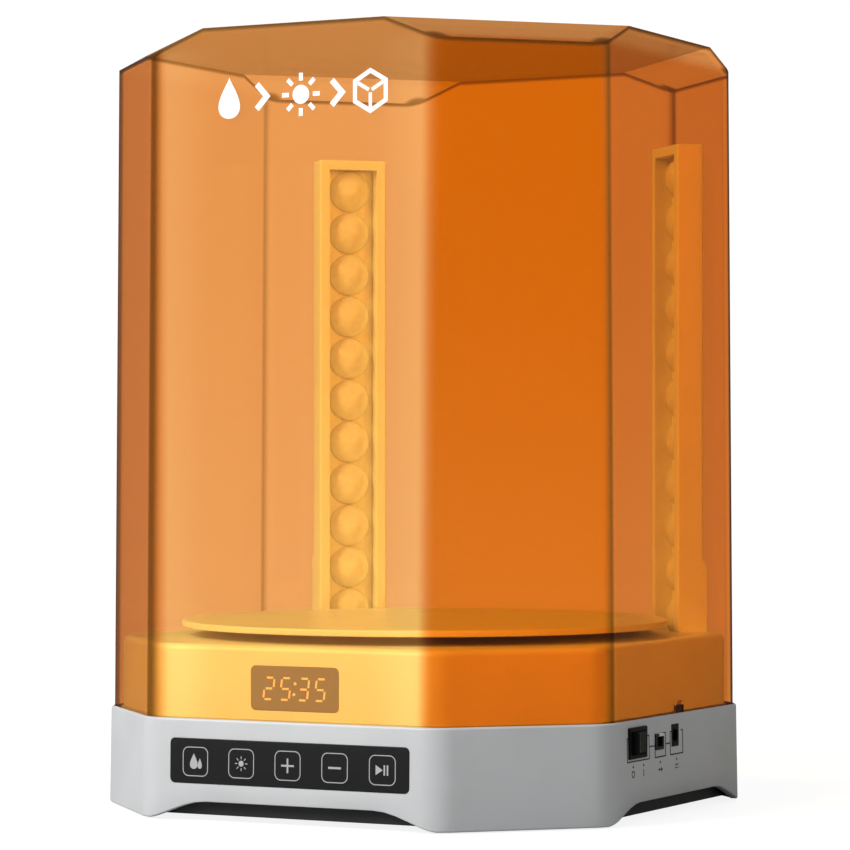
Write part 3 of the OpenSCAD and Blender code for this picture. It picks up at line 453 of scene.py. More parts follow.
grey_wire = moulded("grey insulation", (0.22, 0.22, 0.23), 0.38, 0.5 * MM, 0.006 * MM, 0.03)
led_resin = moulded("LED resin", (0.86, 0.82, 0.58), 0.18, 0.2 * MM, 0.002 * MM, 0.02, 0.5)
print("moulded plastics ready")

# %% [markdown]
# Metals: turned or rolled steel shows fine parallel lines, cast alloy is cloudy, sintered bronze is speckled
# with pores. A noise stretched along one direction gives the lines.

# %% Metals
def metal(name, colour, gloss, stretch=(1, 1, 60), size=1.2 * MM, pores=0.0, depth=0.004 * MM):
    """Metal with fine lines where stretch is uneven, tarnish in large soft patches, and optional pores."""
    paint = Paint(name)
    point = paint.place()[0]
    drawn = paint.node("ShaderNodeMapping", None, {"Vector": point, "Scale": stretch})
    lines = paint.noise(drawn, size, 4, 0.6)
    patches = paint.noise(point, 9 * MM, 3)
    grains = paint.noise(point, 0.25 * MM, 2)
    tarnish = tuple(c * 0.72 for c in colour)
    shade = paint.blend(patches.ramp(0.45, 0.75, 0, 0.6), colour, tarnish)
    shade = paint.blend(grains.ramp(0.55, 0.75, 0, pores), shade, tuple(c * 0.35 for c in colour))
    rough = gloss + (lines - 0.5) * 0.22 + patches * 0.06
    return paint.finish(paint.principled(Base_Color=shade, Metallic=1.0, Roughness=rough,
                                         Normal=paint.bump(lines, depth)))


plated_steel = metal("zinc plated steel", (0.62, 0.63, 0.65), 0.30, (1, 1, 12), 0.8 * MM)
rolled_steel = metal("rolled sheet steel", (0.56, 0.57, 0.58), 0.34, (40, 1, 1), 1.0 * MM)
cast_alloy = metal("cast alloy", (0.50, 0.50, 0.52), 0.48, (1, 1, 1), 0.9 * MM, 0.2, 0.02 * MM)
ground_steel = metal("ground steel", (0.66, 0.66, 0.68), 0.22, (1, 1, 70), 0.6 * MM)
bronze = metal("sintered bronze", (0.52, 0.30, 0.14), 0.44, (1, 1, 1), 0.5 * MM, 0.6, 0.01 * MM)
brass = metal("machined brass", (0.76, 0.55, 0.24), 0.26, (1, 1, 40), 0.6 * MM)
tinned = metal("tinned brass", (0.74, 0.73, 0.70), 0.24, (1, 30, 1), 0.5 * MM)
gilded = metal("gold flashed spring", (0.83, 0.60, 0.25), 0.20, (1, 30, 1), 0.4 * MM)
print("metals ready")

# %% [markdown]
# A circuit board is glass cloth under tinted lacquer: the weave shows as a faint grid, and copper tracks show
# through as slightly lighter, slightly raised bands.

# %% Circuit boards
def board(name, lacquer, copper):
    """Lacquer over a woven cloth, with straight tracks where two band patterns agree."""
    paint = Paint(name)
    point = paint.place()[0]
    weave, cross = (paint.node("ShaderNodeTexWave", {"bands_direction": way},
                               {"Vector": point, "Scale": 900, "Distortion": 1.0}) for way in "XY")
    bricks = paint.node("ShaderNodeTexBrick", {"offset": 0.37},
                        {"Vector": point, "Scale": 90.0, "Mortar Size": 0.045, "Mortar Smooth": 0.2,
                         "Brick Width": 1.4, "Row Height": 0.55}, output=1)
    cloth = weave * cross
    shade = paint.blend(cloth * 0.25, lacquer, tuple(c * 0.75 for c in lacquer))
    shade = paint.blend(bricks * 0.55, shade, copper)
    rough = 0.30 + cloth * 0.10
    normal = paint.bump(bricks, 0.02 * MM, 0.6, paint.bump(cloth, 0.004 * MM, 0.5))
    return paint.finish(paint.principled(Base_Color=shade, Roughness=rough, Normal=normal, Coat_Weight=0.3,
                                         Coat_Roughness=0.1))


green_board = board("green circuit board", (0.008, 0.10, 0.035), (0.03, 0.22, 0.08))
white_board = board("white circuit board", (0.80, 0.81, 0.79), (0.72, 0.74, 0.70))
print("boards ready")

# %% [markdown]
# ## The clear orange cover
# Ultraviolet-blocking acrylic is clear and deeply tinted. The whole tint of a wall sits in its outer skin, so
# the inner skin and the ends of walls add none. A little of the dye glows back at the eye, which keeps the walls
# from looking like plain glass. The cut-off corners and the two side walls are drawn deeper in tone than front
# and back, in tint and in dye, most of all on the right wall and the front right corner: this deeper tone is
# painted shade. The front wall is paler near its ends, which is a painted highlight, and front and back are paler
# towards the bottom. Edges and skins seen at a glance look olive. A polished skin over all of it reflects the
# room.

# %% Cover acrylic
FACET_START = REACH - DRAFT - FACET_RUN / math.sqrt(2)
FACET_SLOPE = FACET_DROP / (FACET_RUN / math.sqrt(2))
# painted shade: the deep side and corner tints stand for the shade on the right wall and the front right corner;
# the pale tint serves as a painted highlight.
TINTS = {"plain": (0.893, 0.578, 0.303), "pale": (1.0, 0.792, 0.533), "side": (0.672, 0.260, 0.048),
         "corner": (0.740, 0.250, 0.001), "edge": (0.176, 0.090, 0.0064), "cast": (1.0, 0.941, 0.360)}


def orange_acrylic():
    """Tints mixed by place, darker where a skin is seen at a glance or at an edge, with painted shade deepening
    the side walls and cut-off corners most on the right and at the front, and a painted highlight paling the
    front wall near its ends; the dye's glow, darker on the same walls as painted shade; and a gloss that grows as
    the fifth power of how sidelong the view is. Light passes with a plain yellow tint."""
    paint = Paint("clear orange acrylic")
    point, x, y, z = paint.place()
    across, along = abs(x), abs(y)
    diagonal = (across + along) / math.sqrt(2)
    cut_off = (diagonal - (REACH - 8 * MM)).ramp(0, 6 * MM)
    side_wall = (across - (HALF - 8 * MM)).ramp(0, 6 * MM) * (1 - cut_off)
    front_back = (along - (HALF - 8 * MM)).ramp(0, 6 * MM) * (1 - cut_off)
    lid = z.ramp(TOP - 14 * MM, TOP - 6 * MM)
    height = z.ramp(LEDGE, TOP - 60 * MM)
    ahead = y.ramp(-20 * MM, 20 * MM, 1, 0.12)
    # painted shade: this ramp grows from left to right, so the side and corner tints are heavier on the right.
    right_shade_ramp = x.ramp(-20 * MM, 20 * MM)
    glance = paint.node("ShaderNodeLayerWeight", None, {"Blend": 0.5}, output=1)

    to_corner = [((across - a) * (across - a) + (along - b) * (along - b)).power(0.5)
                 for a, b in ((HALF, HALF - LEG), (HALF - LEG, HALF))]
    corner = to_corner[0].least(to_corner[1]).ramp(5 * MM, 9 * MM, 1, 0)
    way = paint.node("ShaderNodeNewGeometry", output=1)
    steep = abs(paint.node("ShaderNodeSeparateXYZ", None, {0: way}, output=2)).ramp(0.3, 0.6, 1, 0)
    below_edge = TOP - (diagonal - FACET_START).most(0) * FACET_SLOPE - z
    rim = below_edge.ramp(0.8 * MM, 2.6 * MM, 1, 0) * steep
    sidelong = glance.ramp(0.72, 0.95) * (1 - lid * 0.42)
    # painted highlight: a paler tint on the front wall 38 to 72 mm either side of the middle, plus a paler tint
    # towards the bottom of front and back.
    painted_highlight_and_low_pale = (across.ramp(38 * MM, 72 * MM) * 0.6 * ahead + (1 - height) * 0.45).least(1)
    # painted shade in the side and corner shares, heavier to the right, at the front and higher up; painted
    # highlight in the pale share.
    shares = {
        "pale": front_back * painted_highlight_and_low_pale * (1 - lid),
        "side": side_wall * (1 - lid * 0.7) * (0.22 + right_shade_ramp * 0.78) * (0.85 + height * 0.15),
        "corner": cut_off * (1 - lid * 0.7) * ahead * (0.88 + height * 0.12) * (0.55 + right_shade_ramp * 0.45),
        "edge": (corner * glance.ramp(0.2, 0.5) * 0.9 + sidelong + rim * 0.9).least(1)}
    tint = paint.clear(TINTS["plain"])
    for name, share in shares.items():
        tint = paint.mix(share, tint, paint.clear(TINTS[name]))

    lean = (z - GROOVE) * (DRAFT / (TOP - GROOVE))
    facet = (z + (diagonal - FACET_START) * FACET_SLOPE - TOP) / math.hypot(1, FACET_SLOPE) + HALF
    level = (across.most(along).most(diagonal - (REACH - HALF)) + lean).most(z - TOP + HALF).most(facet)
    outer = level.ramp(HALF - 2.5 * MM, HALF - 1.9 * MM)
    plain_glass = paint.clear((1, 1, 1))
    tint = paint.mix(outer, plain_glass, tint)
    cast = paint.mix(outer, plain_glass, paint.clear(TINTS["cast"]))

    haze = paint.noise(point, 0.8 * MM, 3, 0.7)
    ripple = paint.bump(paint.noise(point, 60 * MM, 2), 0.10 * MM, 0.25)
    # painted shade: the dye is darker on the side walls and cut-off corners.
    dye_with_painted_shade = paint.blend(cut_off.most(side_wall), (0.98, 0.42, 0.08), (0.72, 0.20, 0.01))
    body = paint.principled(Base_Color=dye_with_painted_shade, Roughness=0.3 + haze * 0.05, Normal=ripple, IOR=1.49,
                            Specular_IOR_Level=0.1)
    wall = paint.mix(0.035 + front_back * 0.04 + haze * 0.01, tint, body)
    gloss = paint.node("ShaderNodeBsdfGlossy", None, {"Color": (1, 1, 1), "Roughness": 0.03, "Normal": ripple})
    skin = paint.mix(0.010 + glance.power(5) * 0.20, wall, gloss)
    return paint.finish(paint.mix(paint.node("ShaderNodeLightPath", output=1), skin, cast))


acrylic = orange_acrylic()
print("acrylic ready")

# %% [markdown]
# ## Glossy panel, smoked window, lenses, ink and light
# The key panel is a polished sheet printed black from behind, so its gloss lies over a deep, even black. The
# display window is smoked and half clear. The lenses are clear plastic that looks milky from their frosted
# feet. Ink is matt and slightly uneven at its edges. The digits give their own light.

# %% Gloss, smoke, lens, ink and lit digits
def gloss_panel():
    """Deep black under a clear coat, with a breath of dust and fine rubbed marks."""
    paint = Paint("gloss black panel")
    point = paint.place()[0]
    dust = paint.noise(point, 0.7 * MM, 5, 0.8)
    long_way = paint.node("ShaderNodeMapping", None, {"Vector": point, "Scale": (1, 1, 9)})
    wipe = paint.noise(long_way, 14 * MM, 4)
    shade = paint.blend(dust.ramp(0.6, 0.85, 0, 0.3), (0.003, 0.003, 0.0035), (0.02, 0.02, 0.022))
    rough = 0.10 + wipe * 0.08 + dust * 0.04
    return paint.finish(paint.principled(Base_Color=shade, Roughness=rough, Coat_Weight=0.25, Coat_Roughness=0.04,
                                         Specular_IOR_Level=0.22, Normal=paint.bump(wipe, 0.01 * MM, 0.3)))


def smoked_window():
    """Grey-brown plastic, half clear, with a polished face."""
    paint = Paint("smoked window")
    point = paint.place()[0]
    dust = paint.noise(point, 0.5 * MM, 4, 0.8)
    shade = paint.blend(dust.ramp(0.55, 0.8, 0, 0.3), (0.36, 0.34, 0.40), (0.44, 0.42, 0.48))
    body = paint.principled(Base_Color=shade, Roughness=0.10 + dust * 0.06, Coat_Weight=0.3,
                            Coat_Roughness=0.05)
    return paint.finish(paint.mix(0.72 + dust * 0.06, paint.clear((0.72, 0.68, 0.64)), body))


def milky_lens():
    """Clear plastic whose frosted foot and inner cone scatter white light."""
    paint = Paint("domed lens")
    point = paint.place()[0]
    rings = paint.noise(point, 3.5 * MM, 2)
    haze = paint.noise(point, 0.4 * MM, 3, 0.7)
    shade = paint.blend(rings.ramp(0.3, 0.7), (0.82, 0.82, 0.80), (0.88, 0.88, 0.86))
    return paint.finish(paint.principled(Base_Color=shade, Roughness=0.22 + haze * 0.08, Coat_Weight=0.5,
                                         Coat_Roughness=0.08, Normal=paint.bump(haze, 0.004 * MM, 0.2)))


def ink(name, colour, gloss=0.55, glow=0.0):
    """Printed ink: matt, with a grain that thins it a little."""
    paint = Paint(name)
    point = paint.place()[0]
    grain = paint.noise(point, 0.25 * MM, 3, 0.7)
    shade = paint.blend(grain.ramp(0.35, 0.75, 0, 0.25), colour, tuple(c * 0.8 for c in colour))
    return paint.finish(paint.principled(Base_Color=shade, Roughness=gloss + grain * 0.1, Emission_Color=shade,
                                         Emission_Strength=glow, Normal=paint.bump(grain, 0.004 * MM, 0.5)))


panel_black = gloss_panel()
smoke = smoked_window()
lens = milky_lens()
white_ink = ink("white ink", (0.86, 0.86, 0.85))
grey_ink = ink("silver grey ink", (0.42, 0.42, 0.43))
black_ink = ink("black ink", (0.02, 0.02, 0.022))
lit_digits = ink("lit digits", (0.95, 0.60, 0.33), 0.5, 0.62)
print("gloss, smoke, lens, ink and light ready")

# %% [markdown]
# ## The cover
# Each skin of the cover is a stack of octagons that leans inwards a little. Where a corner facet lies lower than
# the lid, the columns stop at the facet's plane, and the next ring follows the plane up to the lid. The inner
# skin is the same shape moved in by the wall's thickness, and the rim joins the two.

# %% Cover
def cover_skin(inset):
    """Rings from the rim to the lid's centre. The distance along a diagonal is (|x| + |y|) / sqrt 2, and a
    facet is the plane that falls with it from where the lid ends."""
    top = TOP - inset
    start = FACET_START - inset * (math.hypot(1, FACET_SLOPE) - 1) / FACET_SLOPE
    crease = math.sqrt(2) * start - (HALF - DRAFT - inset)
    foot, rim = octagon(inset, crease), octagon(inset + DRAFT, crease)
    beyond = np.maximum(np.abs(rim).sum(1) / math.sqrt(2) - start, 0)
    height = GROOVE + np.linspace(0, 1, 16)[:, None] * (top - FACET_SLOPE * beyond - GROOVE)
    lean = ((height - GROOVE) / (TOP - GROOVE))[..., None]
    wall = np.concatenate([foot + (rim - foot) * lean, height[..., None]], -1)
    pulled = rim - np.sign(rim) * beyond[:, None] / math.sqrt(2)
    crease_ring = np.column_stack([pulled, np.full(len(rim), top)])
    return np.concatenate([wall, crease_ring[None], shrink_to_centre(crease_ring)])


outer_skin, inner_skin = cover_skin(0), cover_skin(WALL)
rings = np.concatenate([inner_skin[::-1], outer_skin])
cover = make_piece("lamp_cover", [(rings, grid_faces(len(rings), rings.shape[1], wrap_columns=True))])
notch = make_piece("notch", soft_box((HALF - 8 * MM, NOTCH[0], GROOVE - 5 * MM),
                                     (HALF + 4 * MM, NOTCH[1], LEDGE + 5.6 * MM), 1.2 * MM))
cut(cover, [notch])
soften(cover, 1.1 * MM, 4, 20)
finish_piece(cover, "cover", acrylic, ["cover"])

# %% [markdown]
# ## The base
# One closed profile runs round the octagon: skirt, wall, ledge, groove for the cover, flange and back down the
# inside. Between the feet the skirt rises in an arch that eases out of the corners along half a cosine. Rows
# below the arch's blend height are squeezed upwards by the arch, and keep to the wall's slope.

# %% Base
ARCH_TOP = 17 * MM


def arch_rise(along):
    """Arch height over the floor: full in the middle, and half a cosine down to nothing."""
    blend = np.clip((along - ARCH_HALF) / ARCH_BLEND, 0, 1)
    return ARCH * (1 + np.cos(math.pi * blend)) / 2


def wall_inset(height):
    """How far the base's leaning outer wall stands in from the cover's wall line: less than nothing."""
    return -PROUD - FLARE * (LEDGE - height) / (LEDGE - SKIRT)


FLANGE = LEDGE - 4.5 * MM
section = eased([(1.5 * MM, FLANGE), (1.5 * MM, ARCH_TOP), (1.5 * MM, SKIRT), (wall_inset(SKIRT), SKIRT),
                 (wall_inset(ARCH_TOP), ARCH_TOP), (wall_inset(LEDGE), LEDGE), (-0.5 * MM, LEDGE),
                 (-0.5 * MM, GROOVE), (3.5 * MM, GROOVE), (3.5 * MM, LEDGE), (28 * MM, LEDGE), (28 * MM, FLANGE)],
                [0, 0.6 * MM, 1.0 * MM, 0, 1.3 * MM, 0.25 * MM, 0, 0, 0.3 * MM, 0.3 * MM], 5)
rings = octagon_rings(section, flat_crease=ARCH_HALF)
level = rings[..., 2]
foot = np.maximum(arch_rise(np.abs(rings[..., :2]).min(-1)), SKIRT)
squeezed = foot + (level - SKIRT) * (ARCH_TOP - foot) / (ARCH_TOP - SKIRT)
lift = np.where(level < ARCH_TOP, squeezed - level, 0)
inward = octagon(1 * MM, ARCH_HALF) - octagon(0, ARCH_HALF)
rings[..., :2] += (FLARE * lift / (LEDGE - SKIRT) / MM)[..., None] * inward
rings[..., 2] += lift
base = make_piece("base_shell", [(rings, grid_faces(len(rings), rings.shape[1], True, True))])

PORT_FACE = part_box("output_socket")[1].x - 1.2 * MM
PANEL_LOW, PANEL_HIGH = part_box("control_overlay")
PANEL_W, PANEL_H = PANEL_HIGH.x - PANEL_LOW.x, PANEL_HIGH.z - PANEL_LOW.z
PANEL_Z = (PANEL_LOW.z + PANEL_HIGH.z) / 2


def front_wall(proud=0.0):
    """A place for plates on the base's front wall: u to the right, v up from the floor, w outwards."""
    return lambda u, v, w: np.stack([u, -(HALF - wall_inset(v) + proud + w), v], -1)


def side_wall(proud=0.0):
    """A place for plates on the base's right wall: u to the back, v up from the floor, w outwards."""
    return lambda u, v, w: np.stack([HALF - wall_inset(v) + proud + w, u, v], -1)


def port_cutters(node, width, height, seat_w, seat_h):
    """Two boxes that sink a seat and a hole round the middle of a port's CAD node."""
    low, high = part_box(node)
    y, z = (low.y + high.y) / 2, (low.z + high.z) / 2
    size = [(PORT_FACE, seat_w, seat_h), (HALF - 12 * MM, width, height)]
    return [make_piece("cutter", soft_box((x, y - w / 2, z - h / 2), (HALF + 9 * MM, y + w / 2, z + h / 2),
                                          0.35 * MM, 2)) for x, w, h in size]


recess = rounded_rectangle(PANEL_W + 0.3 * MM, PANEL_H + 0.3 * MM, 2.7 * MM) + [0, PANEL_Z]
cutters = [make_piece("cutter", plate(recess, front_wall(2 * MM), 2.9 * MM)),
           make_piece("cutter", soft_box((HALF - 3.2 * MM, SENSOR_SLOT[0], FLANGE - MM),
                                         (HALF - 0.5 * MM, SENSOR_SLOT[1], LEDGE + MM), 0.2 * MM, 2))]
for node, sizes in (("switch_body", (19.2, 13, 21.0, 15.4)), ("output_socket", (8.4, 6.7, 9.7, 8.0)),
                    ("dc_jack", (9.2, 11.1, 9.2, 11.1))):
    cutters += port_cutters(node, *np.array(sizes) * MM)
cut(base, cutters)
soften(base, 0.18 * MM, 2, 50)
finish_piece(base, "base", base_grey, ["base_housing"])

# %% [markdown]
# ## Plinth, turntable and light bars
# The plinth is the same octagon again, with a soft upper edge, a seat for the display window, and slots that
# the light bars stand through. The turntable is a turned plate. The bars are built about the X axis and then
# turned into the rear corners.

# %% Plinth and turntable
EDGE = 3.2 * MM
DECK_UNDER = DECK - WALL
BUSH = (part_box("upper_bearing")[1].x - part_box("upper_bearing")[0].x) / 2
wall_rows = eased([(PLINTH_IN + WALL, DECK_UNDER), (PLINTH_IN + WALL, LEDGE), (PLINTH_IN, LEDGE),
                   (PLINTH_IN, DECK), (PLINTH_IN + 12 * MM, DECK)], [0.3 * MM, 0.4 * MM, EDGE], 8)
rings = octagon_rings(wall_rows)
around = np.arctan2(rings[0, :, 1], rings[0, :, 0])
hole = np.stack([np.cos(around), np.sin(around)], -1) * (BUSH - 1.0 * MM)


def to_hole(ring, height):
    """Rings that turn an octagon into the spindle's round hole in equal steps."""
    share = np.linspace(0, 1, 7)[1:, None, None]
    plan = ring[None, :, :2] * (1 - share) + hole[None] * share
    return np.concatenate([plan, np.full((*plan.shape[:2], 1), height)], -1)


rings = np.concatenate([rings, to_hole(rings[-1], DECK), to_hole(rings[0], DECK_UNDER)[::-1]])
plinth = make_piece("plinth_shell", [(rings, grid_faces(len(rings), rings.shape[1], True, True))])

BAR_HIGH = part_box("light_bar_right")[1]
BAR_BACK = REACH - PLINTH_IN - WALL - 0.6 * MM
BAR_FRONT = BAR_BACK - 14.5 * MM
BOARD_FRONT = BAR_BACK - 5.1 * MM
BAR_W = 38 * MM
BAR_RIM = 5.4 * MM
LAMP_TOP = BAR_HIGH.z - 5.2 * MM
LAMP_LOW = DECK - 4 * MM


def turned(parts, degrees):
    """Parts turned about the upright axis."""
    angle = math.radians(degrees)
    c, s = math.cos(angle), math.sin(angle)
    turn = np.array([[c, s, 0], [-s, c, 0], [0, 0, 1]])
    return [(np.asarray(points) @ turn, faces) for points, faces in parts]


WINDOW_LOW, WINDOW_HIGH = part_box("display_window")
WINDOW_Z = (WINDOW_LOW.z + WINDOW_HIGH.z) / 2
WINDOW_W, WINDOW_H = WINDOW_HIGH.x - WINDOW_LOW.x, WINDOW_HIGH.z - WINDOW_LOW.z
FACE = HALF - PLINTH_IN


def on_plinth(u, v, w):
    """A place for plates on the plinth's front face."""
    return np.stack([u, -(FACE + w), v], -1)


def above_plinth(u, v, w):
    """The same place, 2 mm in front of the face."""
    return on_plinth(u, v, w + 2 * MM)


cutters = []
for wider, corner, depth in ((0.2 * MM, 2.7 * MM, 3.3 * MM), (-2.5 * MM, 1.5 * MM, 9 * MM)):
    seat = rounded_rectangle(WINDOW_W + wider, WINDOW_H + wider, corner) + [0, WINDOW_Z]
    cutters.append(make_piece("cutter", plate(seat, above_plinth, depth)))
for degrees in (45, 135):
    slot_box = soft_box((BAR_FRONT - 0.2 * MM, -BAR_W / 2 - 0.2 * MM, DECK - 9 * MM),
                        (BAR_BACK + 0.2 * MM, BAR_W / 2 + 0.2 * MM, DECK + 5 * MM), 0.2 * MM, 2)
    cutters.append(make_piece("cutter", turned(slot_box, degrees)))
cut(plinth, cutters)
soften(plinth, 0.25 * MM, 2, 50)
finish_piece(plinth, "base", deck_white, ["plinth"])

RIM_R = disc_high[0]
UNDER, UPPER = disc_low[2], disc_high[2]
rim = eased([(0, UNDER + 0.8 * MM), (RIM_R - 3 * MM, UNDER + 0.8 * MM), (RIM_R - 2.4 * MM, UNDER),
             (RIM_R, UNDER), (RIM_R, UPPER), (RIM_R - 5 * MM, UPPER), (0, UPPER)],
            [0.3 * MM, 0.2 * MM, 0.8 * MM, 0.9 * MM, 0], 5)
points, faces = spun(rim, 192)
turntable = make_piece("turntable_plate", [(points, faces)])
finish_piece(turntable, "turntable", deck_white, ["turntable_disc"])

# %% Light bars and their lenses
shelf = np.array([(-2, 0), (1.6, 0), (1.6, 34), (-2, 40)]) * MM + [BAR_BACK, DECK]


def bar_section(u, v, w):
    """A place whose outline lies on the bar's side, with w across the bar from there."""
    return np.stack([u, w + BAR_W / 2, v], -1)


LAMP_COUNT, LAMP_PITCH = 11, 23.1 * MM
LENS_R = 11.3 * MM
LENS_FOOT, LENS_DOME = 1.5 * MM, 7 * MM
BALL = (LENS_R ** 2 + LENS_DOME ** 2) / (2 * LENS_DOME)
slice_angle = np.linspace(0, math.asin(LENS_R / BALL), 14)[::-1]
dome = np.column_stack([BALL * np.sin(slice_angle), LENS_FOOT + LENS_DOME - BALL * (1 - np.cos(slice_angle))])
lens_points, lens_faces = spun(np.concatenate([[(0, 0), (LENS_R, 0)], dome]), 40)
lens_points = np.stack([BOARD_FRONT - lens_points[..., 2], lens_points[..., 1], lens_points[..., 0]], -1)
for side, degrees in (("right", 45), ("left", 135)):
    block = soft_box((BAR_FRONT, -BAR_W / 2, DECK - 18 * MM), (BAR_BACK, BAR_W / 2, BAR_HIGH.z), 1.2 * MM)
    hollow = soft_box((BAR_FRONT - 5 * MM, BAR_RIM - BAR_W / 2, LAMP_LOW),
                      (BAR_BACK - 3.5 * MM, BAR_W / 2 - BAR_RIM, LAMP_TOP), 0.5 * MM, 2)
    body = make_piece(f"bar_housing_{side}", turned(block, degrees))
    cut(body, [make_piece("cutter", turned(plate(shelf, bar_section, BAR_W), degrees))], "UNION")
    cut(body, [make_piece("cutter", turned(hollow, degrees))])
    soften(body, 0.5 * MM, 3, 50)
    finish_piece(body, "base", bar_white, [f"light_bar_{side}"])
    centres = LAMP_TOP - LAMP_PITCH * (np.arange(LAMP_COUNT) + 0.5)
    row = [(lens_points + [0, 0, height], lens_faces) for height in centres]
    lamps = make_piece(f"lamp_lenses_{side}", turned(row, degrees))
    finish_piece(lamps, "base", lens, [f"lenses_{side}"])

# %% [markdown]
# ## Controls, display and ports
# Flat parts and prints are thin plates laid on a wall by a placing function. A ribbon is a plate that follows a
# path, which makes key frames, rays, digits and port brackets.

# %% Panel, window, switch
def band(path, width, place, depth, closed=False):
    """A flat ribbon along a path of (u, v) points. Each side keeps half the width from the path, and bends are
    mitred: the half width is divided by the cosine of half the turn."""
    path = np.asarray(path, float)
    before, after = np.roll(path, 1, 0), np.roll(path, -1, 0)
    if not closed:
        before[0], after[-1] = 2 * path[0] - path[1], 2 * path[-1] - path[-2]
    come, go = path - before, after - path
    come /= np.linalg.norm(come, axis=1, keepdims=True)
    go /= np.linalg.norm(go, axis=1, keepdims=True)
    normal = np.stack([-(come + go)[:, 1], (come + go)[:, 0]], -1)
    reach = width / (normal ** 2).sum(1, keepdims=True) * normal
    rows = [place(*side.T, np.full(len(path), w)) for side, w in
            ((path + reach, 0.0), (path - reach, 0.0), (path - reach, -depth), (path + reach, -depth))]
    parts = [(np.stack(rows), grid_faces(4, len(path), True, closed))]
    if not closed:
        ends = np.stack(rows)
        parts += [(ends[:, 0], [[3, 2, 1, 0]]), (ends[:, -1], [[0, 1, 2, 3]])]
    return parts


panel = make_piece("control_panel", plate(rounded_rectangle(PANEL_W, PANEL_H, 2.5 * MM) + [0, PANEL_Z],
                                          front_wall(0.15 * MM), 1.0 * MM))
soften(panel, 0.2 * MM, 2, 40)
finish_piece(panel, "base", panel_black, ["control_overlay"])

glass = rounded_rectangle(WINDOW_W, WINDOW_H, 2.65 * MM) + [0, WINDOW_Z]
glass = make_piece("display_glass", plate(glass, on_plinth, 1.3 * MM))
soften(glass, 0.25 * MM, 2, 40)
finish_piece(glass, "base", smoke, ["display_window"])

SWITCH_LOW, SWITCH_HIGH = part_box("switch_body")
SWITCH_Y, SWITCH_Z = (SWITCH_LOW.y + SWITCH_HIGH.y) / 2, (SWITCH_LOW.z + SWITCH_HIGH.z) / 2
bezel = make_piece("switch_bezel", soft_box((PORT_FACE, SWITCH_LOW.y, SWITCH_LOW.z), SWITCH_HIGH, 0.5 * MM))
for from_x, to_x, half_y, half_z, radius, operation in ((-14.5, 0.4, 9.5, 6.4, 0.3, "UNION"),
                                                        (-10, 5, 8.2, 5.7, 0.4, "DIFFERENCE")):
    block = soft_box((PORT_FACE + from_x * MM, SWITCH_Y - half_y * MM, SWITCH_Z - half_z * MM),
                     (PORT_FACE + to_x * MM, SWITCH_Y + half_y * MM, SWITCH_Z + half_z * MM), radius * MM, 2)
    cut(bezel, [make_piece("cutter", block)], operation)
soften(bezel, 0.2 * MM, 2, 50)
finish_piece(bezel, "base", trim_black, ["switch_body"])

PIVOT = (PORT_FACE - 2.5 * MM, SWITCH_Y)
TILT = math.radians(11)
RISE = 6.9 * MM * math.tan(TILT)


def rocker_place(u, v, w):
    """The rocker's plan, turned by its tilt about its pin, with w upwards."""
    return np.stack([PIVOT[0] + u * math.cos(TILT) - v * math.sin(TILT),
                     PIVOT[1] + u * math.sin(TILT) + v * math.cos(TILT), SWITCH_Z + 5.3 * MM + w], -1)


plan = np.array([(-3.5, -3), (0, -6.4), (3, -6.6), (4.4 + RISE / MM, -6.9), (4.4, 0),
                 (4.4 + RISE / MM, 6.9), (3, 6.6), (0, 6.4), (-3.5, 3)]) * MM
rocker = make_piece("rocker_cap", plate(plan, rocker_place, 10.6 * MM))
soften(rocker, 0.6 * MM, 4, 20)
finish_piece(rocker, "rocker", rocker_black, ["switch_rocker"])


# %% Makers of prints, in millimetres
def circle(centre, radius, steps=40):
    """Points all round a circle."""
    turn = np.linspace(0, 2 * math.pi, steps, endpoint=False)
    return np.column_stack([centre[0] + radius * np.cos(turn), centre[1] + radius * np.sin(turn)])


def droplet(centre, width, height, steps=48):
    """A drop: across = sin t * sin(t / 2) ^ 1.5 and up = cos t, scaled to the width and height."""
    turn = np.linspace(0, 2 * math.pi, steps, endpoint=False) + 0.001
    across = np.sin(turn) * np.abs(np.sin(turn / 2)) ** 1.5
    return np.column_stack([centre[0] + across * width / 1.56, centre[1] + np.cos(turn) * height / 2])


def printer(place, depth):
    """Three makers of prints on the surface that place gives: a ribbon, a filled patch, and a sun's rays."""
    def ribbon(path, width, closed=False):
        return band(np.asarray(path) * MM, width * MM, place, depth, closed)

    def patch(outline):
        return plate(np.asarray(outline) * MM, place, depth)

    def rays(centre, inner, outer, width, count=8):
        parts = []
        for turn in np.arange(count) * 2 * math.pi / count + math.pi / 2:
            way = np.array([math.cos(turn), math.sin(turn)])
            parts += ribbon([centre + way * inner, centre + way * outer], width)
        return parts

    return ribbon, patch, rays


# %% Key prints
INK = 0.12 * MM
KEY_PITCH, KEY_SIZE, KEY_LINE = 25.8, 13.9, 0.42
ribbon, patch, rays = printer(front_wall(0.15 * MM + INK), 2 * INK)
keys = [np.array([i * KEY_PITCH, PANEL_Z / MM - 0.3]) for i in range(-2, 3)]
drops, sun, plus, minus, play = keys
prints = []
for key in keys:
    prints += ribbon(rounded_rectangle(KEY_SIZE, KEY_SIZE, 3.0) + key, KEY_LINE, closed=True)
prints += patch(droplet(drops + [-0.9, 0.2], 4.8, 7.6)) + patch(droplet(drops + [2.5, -0.8], 2.6, 5.2))
prints += patch(circle(sun, 1.4)) + rays(sun, 2.2, 3.5, KEY_LINE)
for key, width in ((plus, 0.9), (minus, 1.0)):
    prints += ribbon([key + [-3.5, 0], key + [3.5, 0]], width)
for sign in (-1, 1):
    prints += ribbon([plus + [0, 0.45 * sign], plus + [0, 3.5 * sign]], 0.9)
prints += patch(play + np.array([(-3.6, -2.4), (0.2, 0), (-3.6, 2.4)]))
for u in (1.1, 2.8):
    prints += ribbon([play + [u, -2.4], play + [u, 2.4]], 0.8)
finish_piece(make_piece("key_prints", prints), "base", grey_ink)

